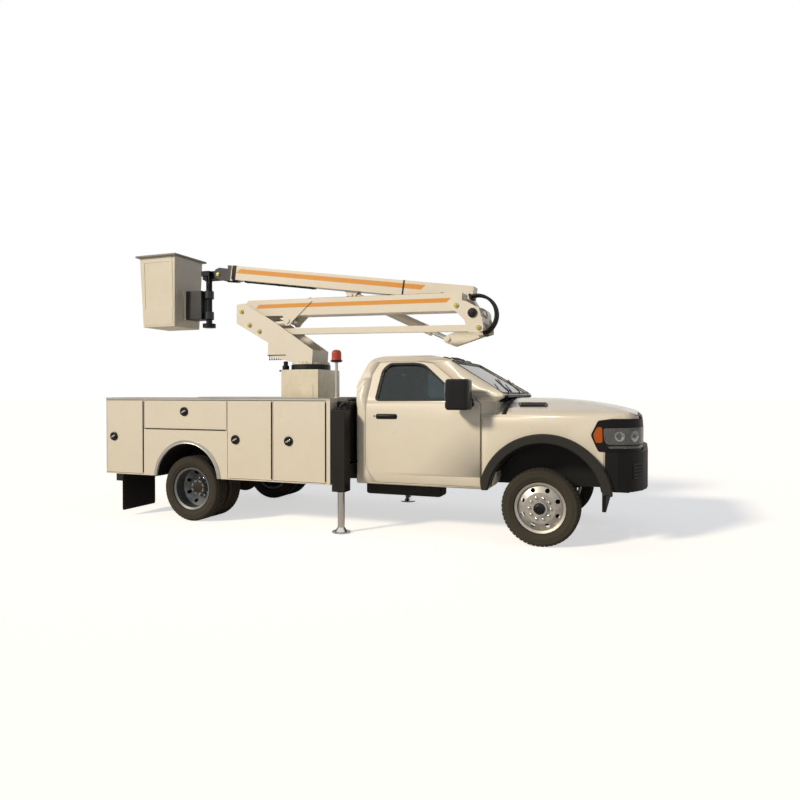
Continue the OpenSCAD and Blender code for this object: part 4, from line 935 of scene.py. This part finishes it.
for side, sign in sides:
    collar = turned([(0, 0.470), (0.062, 0.470), (0.062, 0.4745), (0, 0.4745)], (legX, sign * legY, 0),
                    (0, 0, 1), 36)
    topCap = turned([(0, 1.4065), (0.055, 1.4065), (0.055, 1.424), (0.040, 1.432), (0, 1.432)],
                    (legX, sign * legY, 0), (0, 0, 1), 36)
    hose = tube(smoothPath([(legX, sign * (legY + 0.02), 1.425), (legX, sign * (legY + 0.02), 1.455),
                            (legX, sign * 1.06, 1.475),
                            (legX, sign * 1.0, 1.44), (legX, sign * 0.95, 1.40)]), 0.010, 10)
    piece("outriggerCap_" + side, [topCap, collar, hose], "blackAbs", "chassis", 0.002)
print("beacon and outriggers finished")

# Cab: window frames, screen, wipers, handles, mirrors, roof lamps

cabTrim = {"frameWide": 0.022, "frameHigh": 0.005, "handle": ((-1.861, -1.604), (1.302, 1.361))}
doorWindow = [(-0.88, 1.53), (-1.34, 1.905), (-1.44, 1.928), (-1.76, 1.928), (-1.83, 1.86),
              (-1.865, 1.53)]
screenFoot, screenTop = Vector((-0.385, 1.575)), Vector((-1.08, roofZ - 0.062))
screenRun = (screenTop - screenFoot).normalized()
screenLen = (screenTop - screenFoot).length
screenUp = Vector((screenRun.y, -screenRun.x))


def cabSideY(z):
    steps = [(0.0, 1.0), (1.35, 1.0), (1.49, 0.982), (roofZ - 0.07, 0.785), (roofZ - 0.02, 0.70),
             (roofZ, 0.50)]
    for (z0, y0), (z1, y1) in zip(steps, steps[1:]):
        if z <= z1:
            return y0 + (y1 - y0) * (z - z0) / (z1 - z0)
    return 0.5


def grown(outline, distance):
    area = sum(p[0] * q[1] - q[0] * p[1] for p, q in zip(outline, outline[1:] + outline[:1]))
    result = []
    for i, corner in enumerate(outline):
        before = (Vector(corner) - Vector(outline[i - 1])).normalized()
        after = (Vector(outline[(i + 1) % len(outline)]) - Vector(corner)).normalized()
        spread = Vector((before.y, -before.x)) + Vector((after.y, -after.x))
        spread *= 1 if area > 0 else -1
        result.append(tuple(Vector(corner) + spread * distance / max(0.3, 1 + before.dot(after))))
    return result


def ringFaces(n):
    # Four loops of n points, the inner and outer one at one end and then at the other
    faces = []
    for i in range(n):
        j = (i + 1) % n
        faces += [(i, j, n + j, n + i), (2 * n + i, 3 * n + i, 3 * n + j, 2 * n + j),
                  (n + i, n + j, 3 * n + j, 3 * n + i), (i, 2 * n + i, 2 * n + j, j)]
    return faces


def frameRing(outline, place, wide, low, high):
    inner, outer = filleted(outline, 0.05), filleted(grown(outline, wide), 0.05)
    points = [place(p[0], p[1], h) for h in (low, high) for loop in (inner, outer) for p in loop]
    return points, ringFaces(len(inner))


def onScreen(u, v, h):
    p = screenFoot + screenRun * u + screenUp * h
    return Vector((p.x, v, p.y))


def fixNormals(obj):
    work = bmesh.new()
    work.from_mesh(obj.data)
    bmesh.ops.recalc_face_normals(work, faces=work.faces)
    work.to_mesh(obj.data)
    work.free()
    return obj


doorFrame = frameRing(doorWindow, lambda x, z, h: Vector((x, cabSideY(z) + h, z)), cabTrim["frameWide"],
                      -0.004, cabTrim["frameHigh"])
hx, hz = cabTrim["handle"]
for side, sign in sides:
    turn = flipped if sign < 0 else (lambda shape: shape)
    body = "door_" + side
    dress(fixNormals(meshObject("doorWindowFrame_" + side, turn(doorFrame))), "hoseRubber", body)
    recess = prism("y", filleted([(hx[0], hz[0]), (hx[1], hz[0]), (hx[1], hz[1]), (hx[0], hz[1])], 0.025),
                   0.9985, 1.0035)
    grip = tube(smoothPath([(hx[0] + 0.02, 1.004, 1.338), (hx[0] + 0.05, 1.022, 1.340),
                            (hx[1] - 0.05, 1.022, 1.340), (hx[1] - 0.02, 1.004, 1.338)]), 0.011, 12)
    lockDot = turned([(0, 0), (0.009, 0), (0.009, 0.004), (0, 0.004)], (hx[0] - 0.02, 1.0, 1.335),
                     (0, 1, 0), 16)
    piece("doorHandle_" + side, [turn(s) for s in (recess, grip, lockDot)], "blackAbs", body,
          0.0015)
    head = prism("z", filleted([(-0.945, 1.075), (-0.72, 1.10), (-0.695, 1.16), (-0.695, 1.28),
                                (-0.72, 1.335), (-0.945, 1.345)], 0.05), 1.42, 1.745)
    arm = tube(smoothPath([(-0.745, 0.985, 1.475), (-0.745, 1.03, 1.485), (-0.80, 1.12, 1.50)]), 0.030,
               14)
    armTwo = tube(smoothPath([(-0.745, 0.978, 1.52), (-0.76, 1.03, 1.54), (-0.80, 1.10, 1.56)]), 0.020,
                  14)
    piece("mirrorHead_" + side, [turn(head)], "blackAbs", body, 0.022,
          replaces=("mirror_" + side,), smooth=50)
    piece("mirrorArm_" + side, [turn(arm), turn(armTwo)], "grainedPolypropylene", body)
    panes = [prism("x", filleted([(1.10, 1.52), (1.325, 1.52), (1.325, 1.72), (1.10, 1.72)], 0.03),
                   -0.9475, -0.944),
             prism("x", filleted([(1.10, 1.44), (1.325, 1.44), (1.325, 1.505), (1.10, 1.505)], 0.02),
                   -0.9475, -0.944)]
    piece("mirrorPanes_" + side, [turn(s) for s in panes], "mirrorGlass", body)
screen = [(0.055, -0.84), (screenLen - 0.045, -0.69), (screenLen - 0.045, 0.69), (0.055, 0.84)]
dress(fixNormals(meshObject("screenSeal", frameRing(screen, onScreen, 0.020, -0.002, 0.0045))),
      "hoseRubber", "chassis")
backWindow = [(-0.69, 1.56), (-0.62, 1.85), (0.62, 1.85), (0.69, 1.56)]
backFrame = frameRing(backWindow, lambda y, z, h: Vector((cabBack - h, y, z)), 0.02, -0.002, 0.005)
dress(fixNormals(meshObject("backWindowSeal", backFrame)), "hoseRubber", "chassis")
wipers = []
for y0, y1 in ((-0.62, 0.02), (0.08, 0.70)):
    pivot, tip = onScreen(0.045, y0, 0.022), onScreen(0.30, (y0 + y1) / 2, 0.030)
    wipers += [tube([onScreen(0.03, y0, -0.012), pivot, tip], 0.008, 8),
               tube([onScreen(0.10, y0 + 0.06, 0.024), onScreen(0.34, y1 - 0.02, 0.024)], 0.007, 8)]
piece("wipers", wipers, "blackAbs", "chassis")
cowl = [prism("y", [(-0.500, 1.49), (-0.375, 1.553), (-0.392, 1.580), (-0.500, 1.515)], -0.80, 0.80)]
piece("cowlPanel", cowl, "grainedPolypropylene", "chassis", 0.004)
lampDome = turned([(0, 0), (1, 0), (0.97, 0.35), (0.8, 0.75), (0.5, 0.95), (0, 1)], (0, 0, 0), (0, 0, 1),
                  24)
roofLamp = moved(lampDome, Matrix.Diagonal((0.055, 0.030, 0.028, 1)))
slopeTurn = Matrix.Rotation(math.radians(12), 4, "Y")
lamps = [moved(roofLamp, Matrix.Translation((-1.17, y, 2.011 - abs(y) * 0.03)) @ slopeTurn)
         for y in (-0.50, -0.17, 0, 0.17, 0.50)]
piece("roofLamps", lamps, "smokedPolycarbonate", "chassis")
print("cab finished")

# Front end: vents, lamps, grille, bumper

ventSlope = math.atan2(-0.085, 0.26)
ventFrame = Matrix.Translation((-0.13, 0.715, 1.4672)) @ Matrix.Rotation(ventSlope, 4, "X")
vent = [moved(prism("z", filleted([(-0.17, -0.065), (0.15, -0.060), (0.17, 0.055), (-0.13, 0.065)],
                                  0.022), 0.0, 0.010), ventFrame)]
fins = rowsOf(block((-0.125, 0.135), (-0.005, 0.005), (0.010, 0.016)), 5, (0, 0.022, 0))
vent.append(moved(fins, ventFrame @ Matrix.Translation((0, -0.044, 0))))
piece("hoodVents", bothSides(vent), "blackAbs", "hood", 0.0015)

# Reflectors behind each lens, one on each face of the rounded corner
lampSpot = [((0.775, 0.938, 1.158), 74.7, 0.050), ((0.913, 0.850, 1.160), 38.7, 0.058),
            ((0.985, 0.650, 1.162), 9.5, 0.058)]
bowls, bulbs = [], []
for (x, y, z), lean, size in lampSpot:
    direction = Vector((math.cos(math.radians(lean)), math.sin(math.radians(lean)), 0))
    spot = Vector((x, y, z)) + direction * 0.003
    bowls.append(turned([(0, 0), (size, 0), (size, 0.008), (size - 0.004, 0.008), (size - 0.016, 0.003),
                         (0, 0.003)], spot, direction, 36))
    bulbs.append(turned([(0, 0.0034), (0.024, 0.0034), (0.022, 0.006), (0.012, 0.009), (0, 0.0095)], spot,
                        direction, 30))
piece("lampBowls", bothSides(bowls), "hardChrome", "chassis")
piece("lampProjectors", bothSides(bulbs), "smokedPolycarbonate", "chassis")

slats = rowsOf(block((0.935, 0.950), (-0.002, 0.002), (1.02, 1.34)), 58, (0, 0.0170, 0))
piece("grilleMesh", [moved(slats, Matrix.Translation((0, -0.4845, 0)))], "blackAbs", "chassis")
ribs = rowsOf(block((0.001, 0.012), (-0.09, 0.09), (-0.008, 0.008)), 5, (0, 0, 0.034))
ribFrame = Matrix.Translation((0.950, 0.845, 0.74)) @ Matrix.Rotation(math.radians(30.5), 4, "Z")
fog = turned([(0, 0), (0.045, 0), (0.045, 0.010), (0.038, 0.014), (0.034, 0.008), (0, 0.012)],
             (1.026, 0.45, 0.775), (1, 0.05, 0), 30)
piece("bumperRibs", bothSides([moved(ribs, ribFrame)]), "blackAbs", "chassis", 0.0015)
piece("fogLamps", bothSides([fog]), "clearPolycarbonate", "chassis")
hook = tube(smoothPath([(0.94, 0.36, 0.585), (1.0, 0.36, 0.575), (1.030, 0.37, 0.583),
                        (1.030, 0.42, 0.583), (1.0, 0.43, 0.575), (0.94, 0.43, 0.585)]), 0.011, 12)
piece("towHooks", bothSides([hook]), "chassisEnamel", "chassis")
shaft = tube([(-0.335, 0, 0.60), (-2.2, 0, 0.52), (-4.10, 0, 0.43)], 0.036, 20)
muffler = tube([(-1.5, 0.29, 0.50), (-2.2, 0.29, 0.50)], 0.085, 24)
pipe = tube(smoothPath([(-0.30, 0.28, 0.62), (-0.8, 0.29, 0.52), (-1.52, 0.29, 0.50)]), 0.035, 14)
tailPipe = tube(smoothPath([(-2.18, 0.29, 0.50), (-2.8, 0.29, 0.52), (-3.2, 0.36, 0.50),
                            (-3.42, 0.60, 0.46), (-3.47, 0.9, 0.44)]), 0.035, 14)
piece("driveline", [shaft, muffler, pipe, tailPipe], "roughIron", "chassis")
print("front end finished")

# Lift: pin caps, ring bolts, motor, straps, lines, tip valve, bucket panels

pinCap = [(0, 0), (0.029, 0), (0.029, 0.004), (0.026, 0.007), (0.012, 0.007), (0.012, 0.016), (0, 0.017)]


def capsAt(names, y, direction):
    return [turned(pinCap, (pins[n][0], y, pins[n][1]), (0, direction, 0), 30) for n in names]


piece("turretPinCaps", capsAt(("boom", "lift", "link"), -0.2432, -1)
      + capsAt(("boom", "lift", "link"), 0.2432, 1), "zincPlate", "turret")
elbowNear = -0.183
piece("elbowPinCaps", capsAt(("elbow", "drag"), elbowNear - 0.0142, -1), "zincPlate", "elbow")
rootCap = [(0, 0), (0.058, 0), (0.058, 0.006), (0.050, 0.010), (0.018, 0.010), (0.018, 0.020), (0, 0.021)]
rootCaps = [turned(rootCap, (pins["root"][0], y, pins["root"][1]), (0, direction, 0), 40)
            for y, direction in ((elbowNear - 0.0122, -1), (0.4475, 1))]
piece("rootPinCap", rootCaps, "chassisEnamel", "elbow")
piece("tipPinCap", [turned(pinCap, (pins["tip"][0], 0.1848, pins["tip"][1]), (0, -1, 0), 30)],
      "zincPlate", "upper_boom")
turretFoot, leverTop = 2.0062, 2.110
ringBolt = turned([(0, 0), (0.010, 0), (0.010, 0.008), (0.005, 0.011), (0, 0.011)], (0, 0, 0), (0, 0, 1),
                  6)
piece("slewBolts", [ring(ringBolt, 28, 0.238, (slewX, 0, turretFoot), (0, 0, 1))], "zincPlate", "turret",
      smooth=25)
motorAt = (slewX - 0.28, -0.19)
motor = [turned([(0, 1.9085), (0.045, 1.9085), (0.045, 1.965), (0.030, 1.970), (0.030, 2.02),
                 (0.024, 2.025), (0, 2.025)], (motorAt[0], motorAt[1], 0), (0, 0, 1), 28),
         block((slewX - 0.34, slewX - 0.2755), (-0.26, -0.12), (1.886, 1.907))]
piece("slewMotor", motor, "chassisEnamel", "chassis", 0.002)
levers = rowsOf(turned([(0, 0), (0.012, 0), (0.012, 0.014), (0.006, 0.018), (0.006, 0.050),
                        (0.010, 0.053), (0.010, 0.066), (0, 0.068)], (0, 0, 0), (0, 0, -1), 14), 8,
                (0.034, 0, 0))
leverBar = block((-0.02, 0.262), (-0.030, 0.030), (-0.006, 0.004))
leverFrame = Matrix.Translation((slewX - 0.520, -0.205, leverTop))
piece("controlLevers", [moved(levers, leverFrame), moved(leverBar, leverFrame)], "blackAbs", "turret")
panel = [block((slewX - 0.20, slewX + 0.20), (-0.3245, -0.3203), (1.10, 1.72))]
screws = rowsOf(turned([(0, 0), (0.008, 0), (0.008, 0.003), (0.004, 0.005), (0, 0.005)], (0, 0, 0),
                       (0, -1, 0), 8), 2, (0.36, 0, 0), 4, (0, 0, 0.19))
panel.append(moved(screws, Matrix.Translation((slewX - 0.18, -0.3245, 1.125))))
piece("pedestalPanel", bothSides(panel), "brushedPedestalPlate", "chassis", 0.001)

upperBack = Matrix.Translation((rootEnd[0], upperY, rootEnd[1])) @ Matrix.Rotation(math.radians(8), 4, "Y")


def upperBand(distance, wide, grow, y=0.105, z=0.100):
    outline = filleted([(-y - grow, -z - grow), (y + grow, -z - grow), (y + grow, z + grow),
                        (-y - grow, z + grow)], 0.012, 3)
    inner = filleted([(-y - 0.0003, -z - 0.0003), (y + 0.0003, -z - 0.0003), (y + 0.0003, z + 0.0003),
                      (-y - 0.0003, z + 0.0003)], 0.012, 3)
    points = [Vector((x, p[0], p[1])) for x in (-distance, -distance - wide) for loop in (inner, outline)
              for p in loop]
    return moved((points, ringFaces(len(outline))), upperBack)


bands = together([upperBand(0.94, 0.02, 0.004), upperBand(3.575, 0.065, 0.005)])
dress(fixNormals(meshObject("boomStraps", bands)), "hoseRubber", "upper_boom")
lines = [moved(tube([(-0.55, y, -0.112), (-1.2, y, -0.112)], 0.008, 10), upperBack)
         for y in (-0.04, -0.01)]
lines += [moved(tube([(-2.3, y, -0.112), (-3.45, y, -0.112)], 0.008, 10), upperBack)
          for y in (-0.04, -0.01, 0.02)]
clips = [moved(block((-x - 0.02, -x), (-0.055, 0.035), (-0.122, -0.1005)), upperBack)
         for x in (0.56, 1.15, 2.35, 2.9, 3.42)]
piece("upperLines", lines + clips, "hoseRubber", "upper_boom")

lowerFrame = (Matrix.Translation((pins["boom"][0], 0, pins["boom"][1]))
              @ Matrix.Rotation(math.radians(0.94), 4, "Y"))
lowerLines = [moved(tube([(0.9, y, 0.172), (2.85, y, 0.172)], 0.009, 10), lowerFrame)
              for y in (-0.03, 0.0, 0.03)]
lowerLines += [moved(block((x, x + 0.025), (-0.05, 0.05), (0.1625, 0.183)), lowerFrame)
               for x in (0.95, 1.5, 2.1, 2.8)]
piece("lowerLines", lowerLines, "hoseRubber", "lower_boom")

tipX, tipZ = pins["tip"]
valve = [block((tipX - 0.27, tipX - 0.13), (0.150, 0.2185), (tipZ - 0.02, tipZ + 0.055)),
         turned([(0, 0), (0.03, 0), (0.03, 0.06), (0.02, 0.07), (0, 0.07)],
                (tipX - 0.20, 0.190, tipZ - 0.09), (0, 0, 1), 20),
         tube(smoothPath([(tipX - 0.15, 0.175, tipZ - 0.02), (tipX - 0.145, 0.165, tipZ - 0.12),
                          (tipX - 0.175, 0.170, tipZ - 0.19),
                          (tipX - 0.20, 0.190, tipZ - 0.155)]), 0.010, 12)]
piece("tipValve", valve, "blackAbs", "boom_tip", 0.003)

bucketSlope = math.atan2(0.035, 1.07)
bucketParts = []
for turn in (0, 90, 180, 270):
    spot = (Matrix.Translation((bucketX, upperY, bucketZ)) @ Matrix.Rotation(math.radians(turn), 4, "Z")
            @ Matrix.Translation((0, -0.290, 0)) @ Matrix.Rotation(bucketSlope, 4, "X"))
    strips = [((-0.262, 0.262), (0.03, 0.27)), ((-0.275, -0.235), (0.26, 1.02)),
              ((0.235, 0.275), (0.26, 1.02)), ((-0.24, 0.24), (0.96, 1.02))]
    if turn == 90:
        strips = [((-0.262, 0.262), (0.03, 0.105)), ((-0.275, -0.235), (0.26, 1.02))]
    bucketParts += [moved(block(u, (-0.005, 0.001), v), spot) for u, v in strips]
piece("bucketPanels", bucketParts, "gelcoat", "bucket", 0.002)
print("lift finished")
